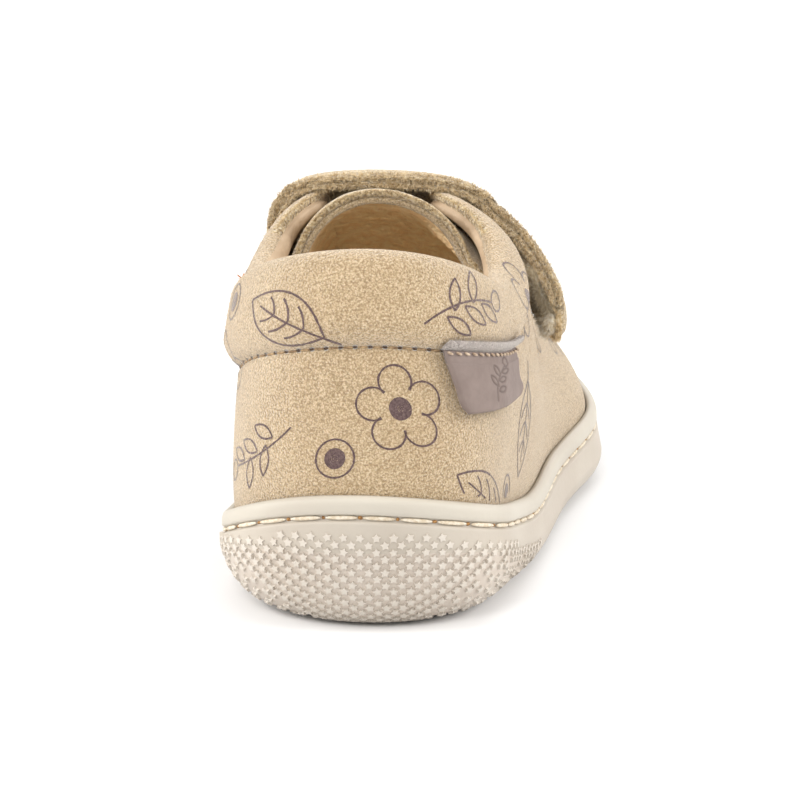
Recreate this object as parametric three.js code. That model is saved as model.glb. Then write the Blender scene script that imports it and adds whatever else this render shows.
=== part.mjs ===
// A toddler's barefoot shoe for the right foot, in millimetres: a wide, flexible cup sole of rubber, a hollow
// suede upper with a padded collar, a domed tongue, one touch-and-close strap, a flat insole and a small tab
// folded over the collar seam. +X is the outer side of the foot, +Y the toe, +Z up. The shoe stands empty.
import * as THREE from "three";
import { mergeVertices } from "three/addons/utils/BufferGeometryUtils.js";

// Driving sizes
const shoeLength = 150;
const ballWidth = 68;
const heelWidth = 51;
const collarHeight = 62.8; // top of the collar at the back of the heel
const instepHeight = 61.4; // top corner of the facings
const rimHeight = 23.2; // top of the sole's wall at the back of the heel

const soleThickness = 4.5; // rubber under the foot
const toeSpring = 5.5; // how far the toe end is lifted off the floor
const rimWall = 2.2; // rubber wall round the upper
const soleFlare = 0.8; // how far the forefoot's side stands out past the rim
const grooveDepth = 0.6;
const grooveWidth = 1.0;
const grooveDrop = 3.4; // from the rim's top down to the stitched groove

const upperWall = 1.8; // suede and lining together
const turnedRadius = 3; // bend of the upper's lower edge inside the sole
const collarPad = 2.3; // foam that swells the collar outwards
const collarPadInside = 1.5;

const insoleThickness = 2;
const tongueThickness = 2.4;
const strapWidth = 22;
const strapLeather = 1.2; // outer layer of the strap
const strapBackingThickness = 1.2; // inner layer, with the fastener
const strapLift = 3.4; // how far the free end curls off the upper
const strapArch = 0.42; // how round it bridges the throat
const tabThickness = 1.1;
const tabHang = 10; // below the collar seam, at its back edge
const tabSlant = 0.8; // share of that hang at its front edge
const tabHem = 1.8; // above the collar seam
const clearance = 0.3; // between pieces that touch

const around = 72; // facets round the shoe

// Sections round the shoe, in even steps from the back of the heel along the outer side to the toe and back.
//   aside, along  widest line of the sole: share of the local half width, share of the length
//   rim           top of the sole's wall, share of rimHeight
//   topAside, topAlong, top  edge of the opening: shares of the local half width, the length and the local height
//   lean, full    how the upper leaves the sole: degrees outwards, and pull as a share of the section's span
//   slope, draw   how it reaches the opening: degrees above level, and pull as a share of the section's span
//   band          width of the collar band or of the facing's edge, share of collarHeight
//   pad           how padded that band is
//   tuck, swell   rounding under the sole: share of the local half width, share of the rim's height
const sections = [
  ["aside", "along", "rim", "topAside", "topAlong", "top", "lean", "full", "slope", "draw", "band", "pad", "tuck", "swell"],
  [0, 0, 1, 0.02, 0.047, 1, -2, 1, 64, 0.55, 0.252, 1, 0.33, 0.66],
  [0.49, 0.015, 0.957, 0.416, 0.064, 0.976, 2, 1, 62, 0.55, 0.242, 1, 0.37, 0.68],
  [0.863, 0.07, 0.845, 0.667, 0.12, 0.909, 4, 1, 58, 0.52, 0.217, 1, 0.39, 0.66],
  [0.973, 0.167, 0.698, 0.729, 0.193, 0.843, 6, 1.05, 46, 0.62, 0.185, 1, 0.26, 0.56],
  [1.063, 0.273, 0.573, 0.69, 0.28, 0.837, 6, 1.1, 25, 0.85, 0.167, 1, 0.15, 0.42],
  [1.077, 0.38, 0.539, 0.569, 0.347, 0.947, 5, 1.05, 20, 0.8, 0.151, 0.7, 0.12, 0.34],
  [0.995, 0.48, 0.53, 0.249, 0.407, 1.003, 2, 0.9, 10, 0.75, 0.096, 0.35, 0.12, 0.34],
  [0.987, 0.58, 0.539, 0.211, 0.5, 0.911, -5, 0.66, 10, 0.7, 0.084, 0.25, 0.13, 0.36],
  [1.053, 0.68, 0.569, 0.173, 0.573, 0.782, -8, 0.55, 10, 0.75, 0.084, 0.2, 0.13, 0.36],
  [1, 0.78, 0.603, 0.124, 0.623, 0.694, -6, 0.6, 10, 0.85, 0.084, 0.2, 0.15, 0.36],
  [0.824, 0.877, 0.651, 0.059, 0.65, 0.653, -2, 0.68, 9, 0.9, 0.084, 0.2, 0.19, 0.4],
  [0.426, 0.963, 0.711, -0.015, 0.661, 0.637, 2, 0.74, 8, 0.9, 0.084, 0.2, 0.26, 0.42],
  [-0.088, 1, 0.754, -0.088, 0.664, 0.632, 3, 0.78, 8, 0.95, 0.084, 0.2, 0.29, 0.43],
  [-0.559, 0.967, 0.724, -0.159, 0.661, 0.637, 3, 0.75, 8, 0.9, 0.084, 0.2, 0.26, 0.42],
  [-0.838, 0.887, 0.659, -0.229, 0.65, 0.653, 2, 0.72, 9, 0.88, 0.084, 0.2, 0.19, 0.39],
  [-0.947, 0.787, 0.603, -0.291, 0.623, 0.694, 2, 0.7, 10, 0.8, 0.084, 0.2, 0.15, 0.36],
  [-0.947, 0.68, 0.556, -0.334, 0.573, 0.782, 3, 0.7, 14, 0.7, 0.084, 0.2, 0.13, 0.37],
  [-0.901, 0.58, 0.517, -0.39, 0.5, 0.911, 4, 0.75, 18, 0.6, 0.084, 0.25, 0.15, 0.42],
  [-0.91, 0.48, 0.496, -0.446, 0.41, 1, 5, 0.88, 20, 0.65, 0.096, 0.35, 0.2, 0.48],
  [-0.977, 0.38, 0.491, -0.674, 0.353, 0.95, 5, 0.95, 40, 0.6, 0.159, 0.7, 0.26, 0.53],
  [-1.004, 0.273, 0.526, -0.784, 0.277, 0.846, 5, 1.02, 58, 0.55, 0.223, 1.25, 0.3, 0.6],
  [-1.016, 0.167, 0.599, -0.8, 0.193, 0.845, 4, 1, 62, 0.52, 0.245, 1.35, 0.36, 0.68],
  [-0.882, 0.07, 0.784, -0.667, 0.117, 0.916, 4, 1, 60, 0.52, 0.248, 1.25, 0.4, 0.7],
  [-0.494, 0.015, 0.948, -0.392, 0.063, 0.976, 2, 1, 62, 0.55, 0.252, 1, 0.37, 0.68],
];

const mix = (a, b, share) => a + (b - a) * share;
const clamp = (v, low, high) => Math.min(high, Math.max(low, v));
const ramp = (v, from, to) => {
  const q = clamp((v - from) / (to - from), 0, 1);
  return q * q * (3 - 2 * q);
};
const radians = THREE.MathUtils.degToRad;
const up = new THREE.Vector3(0, 0, 1);

// Smooth closed curve through evenly spaced values: returns value(t) for t from 0 to 1 round the shoe.
function closedSpline(values) {
  const n = values.length;
  const slopes = values.map(() => 0);
  for (let sweep = 0; sweep < 40; sweep++)
    for (let i = 0; i < n; i++) {
      const rise = 3 * (values[(i + 1) % n] - values[(i + n - 1) % n]);
      slopes[i] = (rise - slopes[(i + n - 1) % n] - slopes[(i + 1) % n]) / 4;
    }
  return (t) => {
    const place = (((t % 1) + 1) % 1) * n;
    const i = Math.floor(place) % n;
    const j = (i + 1) % n;
    const u = place - Math.floor(place);
    const rest = 1 - u;
    return (
      (1 + 2 * u) * rest * rest * values[i] +
      u * rest * rest * slopes[i] +
      u * u * (3 - 2 * u) * values[j] -
      u * u * rest * slopes[j]
    );
  };
}

// The widths and heights change from the heel's to the ball's along the shoe.
const halfWidthAt = (along) => mix(heelWidth, ballWidth, ramp(along, 0.3, 0.62)) / 2;
const topHeightAt = (along) => mix(collarHeight, instepHeight, ramp(along, 0.15, 0.4));

const [columns, ...rows] = sections;
const table = rows.map((row) => Object.fromEntries(columns.map((name, i) => [name, row[i]])));
const column = (worth) => closedSpline(table.map(worth));

const last = {
  sideX: column((r) => r.aside * halfWidthAt(r.along)),
  sideY: column((r) => r.along * shoeLength),
  rimZ: column((r) => r.rim * rimHeight),
  topX: column((r) => r.topAside * halfWidthAt(r.topAlong)),
  topY: column((r) => r.topAlong * shoeLength),
  topZ: column((r) => r.top * topHeightAt(r.topAlong)),
  lean: column((r) => radians(r.lean)),
  full: column((r) => r.full),
  slope: column((r) => radians(r.slope)),
  draw: column((r) => r.draw),
  band: column((r) => r.band * collarHeight),
  pad: column((r) => r.pad),
  tuck: column((r) => r.tuck * halfWidthAt(r.along)),
  swell: column((r) => r.swell * r.rim * rimHeight),
};

// Rise of the sole's underside off the floor, and the top of the rubber under the foot.
const floorRise = (y) => toeSpring * clamp((y / shoeLength - 0.66) / 0.34, 0, 1) ** 2;
const footbedZ = (y) => floorRise(y) + soleThickness;

// A point of the sole's widest line at t, and the outward direction there.
function sideAt(t) {
  const step = 1e-4;
  const tangent = new THREE.Vector3(
    last.sideX(t + step) - last.sideX(t - step),
    last.sideY(t + step) - last.sideY(t - step),
    0,
  ).normalize();
  return {
    point: new THREE.Vector3(last.sideX(t), last.sideY(t), 0),
    outward: new THREE.Vector3(tangent.y, -tangent.x, 0),
  };
}

// The point at t, set in from the widest line, at height z.
function insetPoint(t, inset, z) {
  const { point, outward } = sideAt(t);
  return point.addScaledVector(outward, -inset).setZ(z);
}

const flareAt = (t) => 0.2 + soleFlare * ramp(last.sideY(t) / shoeLength, 0.2, 0.5);
const upperInset = (t) => rimWall + flareAt(t);

// The upper's skin over the last, from the sole's rim at s = 0 to the opening at s = 1.
function lastPoint(t, s) {
  const { outward } = sideAt(t);
  const rim = insetPoint(t, upperInset(t), last.rimZ(t));
  const top = new THREE.Vector3(last.topX(t), last.topY(t), last.topZ(t));
  const span = top.clone().sub(rim);
  const reach = span.length();
  const inward = span.clone().setZ(0).normalize();
  const leave = outward.multiplyScalar(Math.sin(last.lean(t))).addScaledVector(up, Math.cos(last.lean(t)));
  const arrive = inward.multiplyScalar(Math.cos(last.slope(t))).addScaledVector(up, Math.sin(last.slope(t)));
  leave.multiplyScalar(reach * last.full(t));
  arrive.multiplyScalar(reach * last.draw(t));
  const rest = 1 - s;
  return rim
    .multiplyScalar((1 + 2 * s) * rest * rest)
    .addScaledVector(leave, s * rest * rest)
    .addScaledVector(top, s * s * (3 - 2 * s))
    .addScaledVector(arrive, -s * s * rest);
}

function lastNormal(t, s) {
  const step = 1e-3;
  const alongT = lastPoint(t + step, s).sub(lastPoint(t - step, s));
  const alongS = lastPoint(t, Math.min(1, s + step)).sub(lastPoint(t, s - step));
  return alongT.cross(alongS).normalize();
}

// The share s at which the skin is a given distance below the opening, measured along the skin.
function shareBelowTop(t, distance) {
  const steps = 40;
  let length = 0;
  let above = lastPoint(t, 1);
  for (let i = 1; i <= steps; i++) {
    const here = lastPoint(t, 1 - i / steps);
    const piece = here.distanceTo(above);
    if (length + piece >= distance) return 1 - (i - 1 + (distance - length) / piece) / steps;
    length += piece;
    above = here;
  }
  return 0;
}

// How far the upper's outer and inner faces stand from the skin. across runs over the band, from its seam at 0
// to the folded or cut edge at 1, and is below 0 under the seam.
function wallOffsets(t, across) {
  const pad = last.pad(t);
  const swelling = across < 0 ? 0 : 1 - (1 - clamp(across / 0.32, 0, 1)) ** 2;
  const outer = collarPad * pad * swelling;
  const inner = upperWall + collarPadInside * Math.sqrt(pad) * swelling;
  const thickness = outer + inner;
  const middle = (outer - inner) / 2;
  const edge = clamp(1 - (0.62 * thickness) / last.band(t), 0.3, 0.95);
  const squareness = mix(5, 2.2, clamp(pad, 0, 1));
  const toEdge = clamp((across - edge) / (1 - edge), 0, 1);
  const closing = (1 - toEdge ** squareness) ** (1 / squareness);
  return { outer: middle + (thickness / 2) * closing, inner: middle - (thickness / 2) * closing };
}

// How far the upper's outer face stands off the skin at share s, without the rounding of its edge.
function outerStandOff(t, s) {
  const below = lastPoint(t, s).distanceTo(lastPoint(t, 1));
  return wallOffsets(t, Math.min(0.5, 1 - below / last.band(t))).outer;
}

// A point of the upper's outer face (side 1) or inner face (side -1), pushed a further distance outwards.
function upperPoint(t, across, side, push = 0) {
  const below = last.band(t) * (1 - across);
  const s = shareBelowTop(t, below);
  const offsets = wallOffsets(t, across);
  const offset = (side > 0 ? offsets.outer : offsets.inner) + push;
  return lastPoint(t, s).addScaledVector(lastNormal(t, Math.min(s, 0.999)), offset);
}

// A closed surface from rings of points. Rings run counterclockwise seen from above, and follow each other
// up the outside and down the inside. Loop joins the last ring to the first; otherwise both ends are capped.
function ringSolid(rings, loop) {
  const n = rings[0].length;
  const positions = rings.flat().flatMap((p) => [p.x, p.y, p.z]);
  const faces = [];
  const last = loop ? rings.length : rings.length - 1;
  for (let k = 0; k < last; k++)
    for (let i = 0; i < n; i++) {
      const j = (i + 1) % n;
      const low = k * n;
      const high = ((k + 1) % rings.length) * n;
      faces.push(low + i, low + j, high + j, low + i, high + j, high + i);
    }
  if (!loop)
    for (const [ring, turned] of [[0, true], [rings.length - 1, false]])
      for (let i = 0; i < n / 2; i++) {
        const quad = [i, i + 1, n - 1 - i, (n - i) % n].map((v) => ring * n + v);
        const corners = [[0, 1, 2], [0, 2, 3]];
        for (const corner of corners) {
          const face = corner.map((c) => quad[c]);
          if (new Set(face).size === 3) faces.push(...(turned ? face.reverse() : face));
        }
      }
  return closedGeometry(positions, faces);
}

// A closed slab from a grid of points on its outer face and the same grid on its inner face.
function slabSolid(outerGrid, innerGrid) {
  const rowsCount = outerGrid.length;
  const n = outerGrid[0].length;
  const positions = [...outerGrid.flat(), ...innerGrid.flat()].flatMap((p) => [p.x, p.y, p.z]);
  const base = rowsCount * n;
  const faces = [];
  const quad = (a, b, c, d) => faces.push(a, b, c, a, c, d);
  for (let r = 0; r + 1 < rowsCount; r++)
    for (let i = 0; i + 1 < n; i++) {
      const a = r * n + i;
      quad(a, a + 1, a + n + 1, a + n);
      quad(base + a, base + a + n, base + a + n + 1, base + a + 1);
    }
  for (let i = 0; i + 1 < n; i++) {
    const top = (rowsCount - 1) * n + i;
    quad(i, base + i, base + i + 1, i + 1);
    quad(top, top + 1, base + top + 1, base + top);
  }
  for (let r = 0; r + 1 < rowsCount; r++) {
    const left = r * n;
    const right = left + n - 1;
    quad(left, left + n, base + left + n, base + left);
    quad(right, base + right, base + right + n, right + n);
  }
  return closedGeometry(positions, faces);
}

function closedGeometry(positions, faces) {
  const geometry = new THREE.BufferGeometry();
  geometry.setAttribute("position", new THREE.Float32BufferAttribute(positions, 3));
  geometry.setIndex(faces);
  const merged = mergeVertices(geometry, 1e-4);
  merged.computeVertexNormals();
  return merged;
}

const steps = (count) => Array.from({ length: count + 1 }, (_, i) => i / count);
const turn = Array.from({ length: around }, (_, i) => i / around);
const ring = (pointAt) => turn.map(pointAt);

// Moulded cup sole: rounded underside, stitched groove below the rim, and the seat for the upper.
function soleGeometry() {
  const rings = [];
  const underside = (share) => (t) => {
    const centre = insetPoint(t, last.tuck(t), 0);
    const middleY = clamp(centre.y, 0.16 * shoeLength, 0.78 * shoeLength);
    const middle = new THREE.Vector3(last.sideX(0.5) * (middleY / shoeLength), middleY, 0);
    const point = middle.lerp(centre, share);
    return point.setZ(floorRise(point.y));
  };
  for (const share of [0.25, 0.6]) rings.push(ring(underside(share)));
  for (const share of steps(6)) {
    const angle = (share * Math.PI) / 2;
    rings.push(
      ring((t) => {
        const point = insetPoint(t, last.tuck(t) * (1 - Math.sin(angle)), 0);
        const rise = floorRise(point.y);
        return point.setZ(rise + (last.swell(t) - rise) * (1 - Math.cos(angle)));
      }),
    );
  }
  const wall = (drop, inset) => rings.push(ring((t) => insetPoint(t, flareAt(t) * inset.flare + inset.depth, last.rimZ(t) - drop)));
  const grooveLow = grooveDrop + grooveWidth / 2;
  const grooveHigh = grooveDrop - grooveWidth / 2;
  wall(grooveLow + 0.2, { flare: 0.8, depth: 0 });
  wall(grooveLow, { flare: 0.9, depth: grooveDepth });
  wall(grooveHigh, { flare: 1, depth: grooveDepth });
  wall(grooveHigh - 0.2, { flare: 1, depth: 0 });
  wall(rimWall * 0.3, { flare: 1, depth: rimWall * 0.08 });
  wall(0, { flare: 1, depth: rimWall * 0.45 });
  wall(0, { flare: 1, depth: rimWall - clearance });
  const seatRadius = turnedRadius;
  for (const share of steps(3)) {
    const angle = (share * Math.PI) / 2;
    rings.push(
      ring((t) => {
        const inset = upperInset(t) - clearance + seatRadius * (1 - Math.cos(angle));
        const point = insetPoint(t, inset, 0);
        return point.setZ(footbedZ(point.y) + seatRadius * (1 - Math.sin(angle)));
      }),
    );
  }
  const footbed = (share) => (t) => {
    const edge = insetPoint(t, upperInset(t) - clearance + seatRadius, 0);
    const middleY = clamp(edge.y, 0.2 * shoeLength, 0.76 * shoeLength);
    const point = new THREE.Vector3(last.sideX(0.5) * (middleY / shoeLength), middleY, 0).lerp(edge, share);
    return point.setZ(footbedZ(point.y));
  };
  for (const share of [0.6, 0.25]) rings.push(ring(footbed(share)));
  return ringSolid(rings, false);
}

const turnedInside = turnedRadius - upperWall * 0.6;

// The part of the upper that stands inside the sole's wall, from its turned lower edge to just under the rim.
function tuckedPoint(t, share, side) {
  const wall = side > 0 ? 0 : upperWall;
  const radius = side > 0 ? turnedRadius : turnedInside;
  const angle = (clamp(share / 0.5, 0, 1) * Math.PI) / 2;
  const inset = upperInset(t) + wall + radius * (1 - Math.sin(angle));
  const point = insetPoint(t, inset, 0);
  const low = footbedZ(point.y) + clearance;
  const turned = low + radius * (1 - Math.cos(angle));
  return point.setZ(mix(turned, last.rimZ(t), clamp(share / 0.5 - 1, 0, 1)));
}

// Hollow upper: suede over lining in one wall, swollen into a padded roll round the collar.
function upperGeometry() {
  const bandSteps = [0.1, 0.3, 0.55, 0.78, 0.92, 0.98];
  const wallSteps = 6;
  const side = (face) => {
    const rings = [];
    for (const share of [0, 0.3, 0.5, 0.8]) rings.push(ring((t) => tuckedPoint(t, share, face)));
    for (const share of steps(wallSteps))
      rings.push(
        ring((t) => {
          const seam = shareBelowTop(t, last.band(t));
          const offset = wallOffsets(t, -1);
          const s = seam * share;
          return lastPoint(t, s).addScaledVector(lastNormal(t, Math.max(s, 0.01)), face > 0 ? offset.outer : offset.inner);
        }),
      );
    for (const across of bandSteps) rings.push(ring((t) => upperPoint(t, across, face)));
    return rings;
  };
  const crest = ring((t) => upperPoint(t, 1, 1));
  return ringSolid([...side(1), crest, ...side(-1).reverse()], true);
}

// Flat footbed inside the upper.
function insoleGeometry() {
  const edgeInset = (t) => upperInset(t) + upperWall + turnedInside + clearance;
  const level = (inset, lift, share) =>
    ring((t) => {
      const edge = insetPoint(t, edgeInset(t) + inset, 0);
      const middleY = clamp(edge.y, 0.22 * shoeLength, 0.74 * shoeLength);
      const point = new THREE.Vector3(last.sideX(0.5) * (middleY / shoeLength), middleY, 0).lerp(edge, share);
      return point.setZ(footbedZ(point.y) + clearance + lift);
    });
  const bevel = insoleThickness * 0.3;
  return ringSolid(
    [
      level(bevel, 0, 0.4),
      level(bevel, 0, 1),
      level(0, bevel, 1),
      level(0, insoleThickness - bevel, 1),
      level(bevel, insoleThickness, 1),
      level(bevel, insoleThickness, 0.4),
    ],
    false,
  );
}

// The place round the shoe, on the outer side (side 1) or inner side (side -1), where the skin at share s of
// its height lies at length y.
function placeAtLength(y, s, side) {
  let low = side > 0 ? 0.1 : 0.9;
  let high = 0.5;
  for (let i = 0; i < 30; i++) {
    const middle = (low + high) / 2;
    if (lastPoint(middle, s).y < y) low = middle;
    else high = middle;
  }
  return (low + high) / 2;
}

// Smooth bridge between two points that leaves and arrives along given directions.
function bridge(from, leave, to, arrive, u) {
  const rest = 1 - u;
  return from
    .clone()
    .multiplyScalar((1 + 2 * u) * rest * rest)
    .addScaledVector(leave, u * rest * rest)
    .addScaledVector(to, u * u * (3 - 2 * u))
    .addScaledVector(arrive, -u * u * rest);
}

// Tongue: runs up under the vamp and the facings, and stands out above them in a dome. Rows go forward.
//   along         share of the shoe's length
//   outer, inner  how low its edges reach on the outer and inner side, share of the upper's height there
//   edge          where it comes out from under the facings, share of the upper's height
//   rise, dome    how it leaves the facings: degrees above level, and pull as a share of the gap it bridges
const tongueRows = [
  ["along", "outer", "inner", "edge", "rise", "dome"],
  [0.333, 0.66, 0.7, 0.97, 72, 1.4],
  [0.358, 0.68, 0.7, 0.98, 64, 1.22],
  [0.385, 0.7, 0.72, 1, 50, 1.08],
  [0.42, 0.72, 0.74, 1, 38, 0.9],
  [0.47, 0.74, 0.76, 1, 26, 0.85],
  [0.53, 0.76, 0.78, 1, 20, 0.8],
  [0.59, 0.78, 0.8, 1, 12, 0.8],
  [0.625, 0.79, 0.81, 0.97, 0, 0.8],
  [0.655, 0.79, 0.81, 0.93, -11, 0.75],
  [0.695, 0.77, 0.79, 0.84, 0, 0.7],
];

function tongueGeometry() {
  const [names, ...lines] = tongueRows;
  const bridgeSteps = steps(8).slice(1, -1);
  const face = (depth) =>
    lines.map((line) => {
      const row = Object.fromEntries(names.map((name, i) => [name, line[i]]));
      const under = (side, share) => {
        const t = placeAtLength(row.along * shoeLength, share, side);
        const inner = upperWall + collarPadInside * Math.sqrt(last.pad(t)) + clearance * 2 + depth;
        return lastPoint(t, share).addScaledVector(lastNormal(t, share), -inner);
      };
      const climb = (side, low) => [0, 0.35, 0.7, 1].map((u) => under(side, mix(low, row.edge, u)));
      const outerSide = climb(1, row.outer);
      const innerSide = climb(-1, row.inner).reverse();
      const from = outerSide.at(-1);
      const to = innerSide[0];
      const gap = from.distanceTo(to);
      const across = to.clone().sub(from).normalize().multiplyScalar(Math.cos(radians(row.rise)));
      const steep = up.clone().multiplyScalar(Math.sin(radians(row.rise)));
      const leave = across.clone().add(steep).multiplyScalar(gap * row.dome);
      const arrive = across.sub(steep).multiplyScalar(gap * row.dome);
      return [...outerSide, ...bridgeSteps.map((u) => bridge(from, leave, to, arrive, u)), ...innerSide];
    });
  return slabSolid(face(0).reverse(), face(tongueThickness).reverse());
}

// One strap across the instep, sewn down on the inner side and closed on the outer side.
//   side   1 on the outer side, -1 on the inner side
//   share  share of the upper's height at that point
//   lift   stand-off from the upper, share of strapLift
const strapBack = 0.395 * shoeLength;
const strapPath = [
  ["side", "share", "lift"],
  [-1, 0.46, 0.0],
  [-1, 0.56, 0.0],
  [-1, 0.66, 0.0],
  [-1, 0.75, 0.0],
  [-1, 0.83, 0.05],
  [-1, 0.9, 0.12],
  [1, 0.9, 0.04],
  [1, 0.83, 0.2],
  [1, 0.75, 0.42],
  [1, 0.67, 0.6],
  [1, 0.59, 0.76],
  [1, 0.51, 0.88],
  [1, 0.43, 0.96],
  [1, 0.36, 1.0],
];

function strapGeometry(from, thickness) {
  const [names, ...lines] = strapPath;
  const path = lines.map((line) => Object.fromEntries(names.map((name, i) => [name, line[i]])));
  const acrossSteps = [0, 0.05, 0.2, 0.5, 0.8, 0.95, 1];
  const face = (depth) =>
    acrossSteps.map((w) => {
      const y = strapBack + strapWidth * w;
      const on = ({ side, share, lift }) => {
        const nearEnd = side > 0 && share < 0.5;
        const pulled = nearEnd ? share + (0.5 - share) * Math.abs(2 * w - 1) ** 3 : share;
        const t = placeAtLength(y, pulled, side);
        const curl = strapLift * lift * mix(1.25, 0.55, w);
        const stand = outerStandOff(t, pulled) + clearance + curl + from + depth;
        return lastPoint(t, pulled).addScaledVector(lastNormal(t, pulled), stand);
      };
      const points = path.map(on);
      const before = path.findIndex((p) => p.side > 0) - 1;
      const start = points[before];
      const end = points[before + 1];
      const gap = start.distanceTo(end);
      const leave = start.clone().sub(points[before - 1]).normalize().multiplyScalar(gap * strapArch);
      const arrive = points[before + 2].clone().sub(end).normalize().multiplyScalar(gap * strapArch);
      const over = steps(6).slice(1, -1).map((u) => bridge(start, leave, end, arrive, u));
      return [...points.slice(0, before + 1), ...over, ...points.slice(before + 1)];
    });
  return slabSolid(face(thickness), face(0));
}

// Small tab folded over the collar seam at the back of the outer side.
//   below     distance below the seam, share of tabHang (above the seam: share of tabHem)
//   from, to  its edges round the shoe, in sections
const tabLevels = [
  ["below", "from", "to"],
  [-1, 1.16, 3.1],
  [-0.5, 1.1, 3.18],
  [0, 1.1, 3.08],
  [0.3, 1.17, 3.06],
  [0.65, 1.29, 3.1],
  [0.93, 1.4, 3.1],
  [1, 1.47, 2.95],
];

function tabGeometry() {
  const [names, ...lines] = tabLevels;
  const face = (depth) =>
    lines.map((line) => {
      const row = Object.fromEntries(names.map((name, i) => [name, line[i]]));
      return steps(8).map((w) => {
        const t = mix(row.from, row.to, w) / table.length;
        const below = row.below < 0 ? row.below * tabHem : row.below * tabHang * mix(1, tabSlant, w);
        const padding = row.below < 0 ? 0 : collarPad * 0.25;
        return upperPoint(t, -below / last.band(t), 1, clearance + padding + depth);
      });
    });
  return slabSolid(face(tabThickness).reverse(), face(0).reverse());
}

function piece(name, geometry, color, roughness) {
  const material = new THREE.MeshStandardMaterial({ color, roughness, metalness: 0 });
  const mesh = new THREE.Mesh(geometry, material);
  mesh.name = name;
  return mesh;
}

const suede = 0xc9b184;
const rubber = 0xe3dccb;
const lining = 0xc8ab80;

const shoe = new THREE.Group();
shoe.add(
  piece("outsole", soleGeometry(), rubber, 0.6),
  piece("insole", insoleGeometry(), lining, 0.8),
  piece("upper", upperGeometry(), suede, 0.95),
  piece("tongue", tongueGeometry(), suede, 0.95),
  piece("strap_backing", strapGeometry(0, strapBackingThickness), 0xa88f62, 0.95),
  piece("strap", strapGeometry(strapBackingThickness + clearance, strapLeather), 0xb39a6a, 0.95),
  piece("heel_tab", tabGeometry(), 0x9b8a84, 0.6),
);

// The origin is on the floor, in the middle of the shoe's box.
const box = new THREE.Box3().setFromObject(shoe);
const middle = box.getCenter(new THREE.Vector3());
shoe.position.set(-middle.x, -middle.y, -box.min.z);

export default shoe;
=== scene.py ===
"""A toddler's barefoot shoe for the right foot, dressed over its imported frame.

The shapes are drawn in the shoe's own millimetres, as the solids were: x towards the outer side of the foot,
y from the back of the heel to the toe, z up off the floor. on_frame() carries them into metres on the frame.
Places round the shoe run from 0 at the back of the heel, over the outer side and the toe, back to 1.
"""
import math

import bmesh
import bpy
import numpy as np
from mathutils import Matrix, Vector


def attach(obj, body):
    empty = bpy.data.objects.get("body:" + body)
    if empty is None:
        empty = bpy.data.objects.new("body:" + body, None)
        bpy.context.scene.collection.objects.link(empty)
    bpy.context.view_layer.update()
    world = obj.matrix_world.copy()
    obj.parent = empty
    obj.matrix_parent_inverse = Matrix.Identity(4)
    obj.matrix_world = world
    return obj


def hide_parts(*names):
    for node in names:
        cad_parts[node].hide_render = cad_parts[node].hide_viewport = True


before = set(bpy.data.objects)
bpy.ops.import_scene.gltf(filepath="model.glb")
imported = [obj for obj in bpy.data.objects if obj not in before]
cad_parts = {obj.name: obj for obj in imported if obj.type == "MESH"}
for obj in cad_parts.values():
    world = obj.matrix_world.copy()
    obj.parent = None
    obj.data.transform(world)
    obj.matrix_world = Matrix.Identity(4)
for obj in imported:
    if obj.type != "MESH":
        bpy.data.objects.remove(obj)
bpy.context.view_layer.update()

rng = np.random.default_rng(22)

# Sizes of the shoe in millimetres
shoe_length = 150.0
ball_width = 68.0
heel_width = 51.0
collar_height = 62.8
instep_height = 61.4
rim_height = 23.2
sole_thickness = 4.5
toe_spring = 5.5
rim_wall = 2.2
sole_flare = 0.8
groove_drop = 3.4
groove_depth = 0.6
upper_wall = 1.8
turned_radius = 3.0
collar_pad = 2.3
collar_pad_inside = 1.5
insole_thickness = 2.0
tongue_thickness = 2.4
strap_width = 22.0
strap_back = 0.395 * shoe_length
strap_leather = 1.2
strap_backing = 1.2
strap_lift = 3.4
strap_arch = 0.42
tab_thickness = 1.1
tab_hang = 10.0
tab_slant = 0.8
tab_hem = 1.8
clearance = 0.3
star_height = 0.45
tread_sunk = 0.3
star_width = 1.82
star_pitch = 2.7
star_row = 1.2
needle_pitch = 2.4
sole_stitch_pitch = 6.1
ink_half_width = 0.165
ink_proud = 0.06
drawn_middle = np.array([1.6458, 75.0, 0.0])

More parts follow.
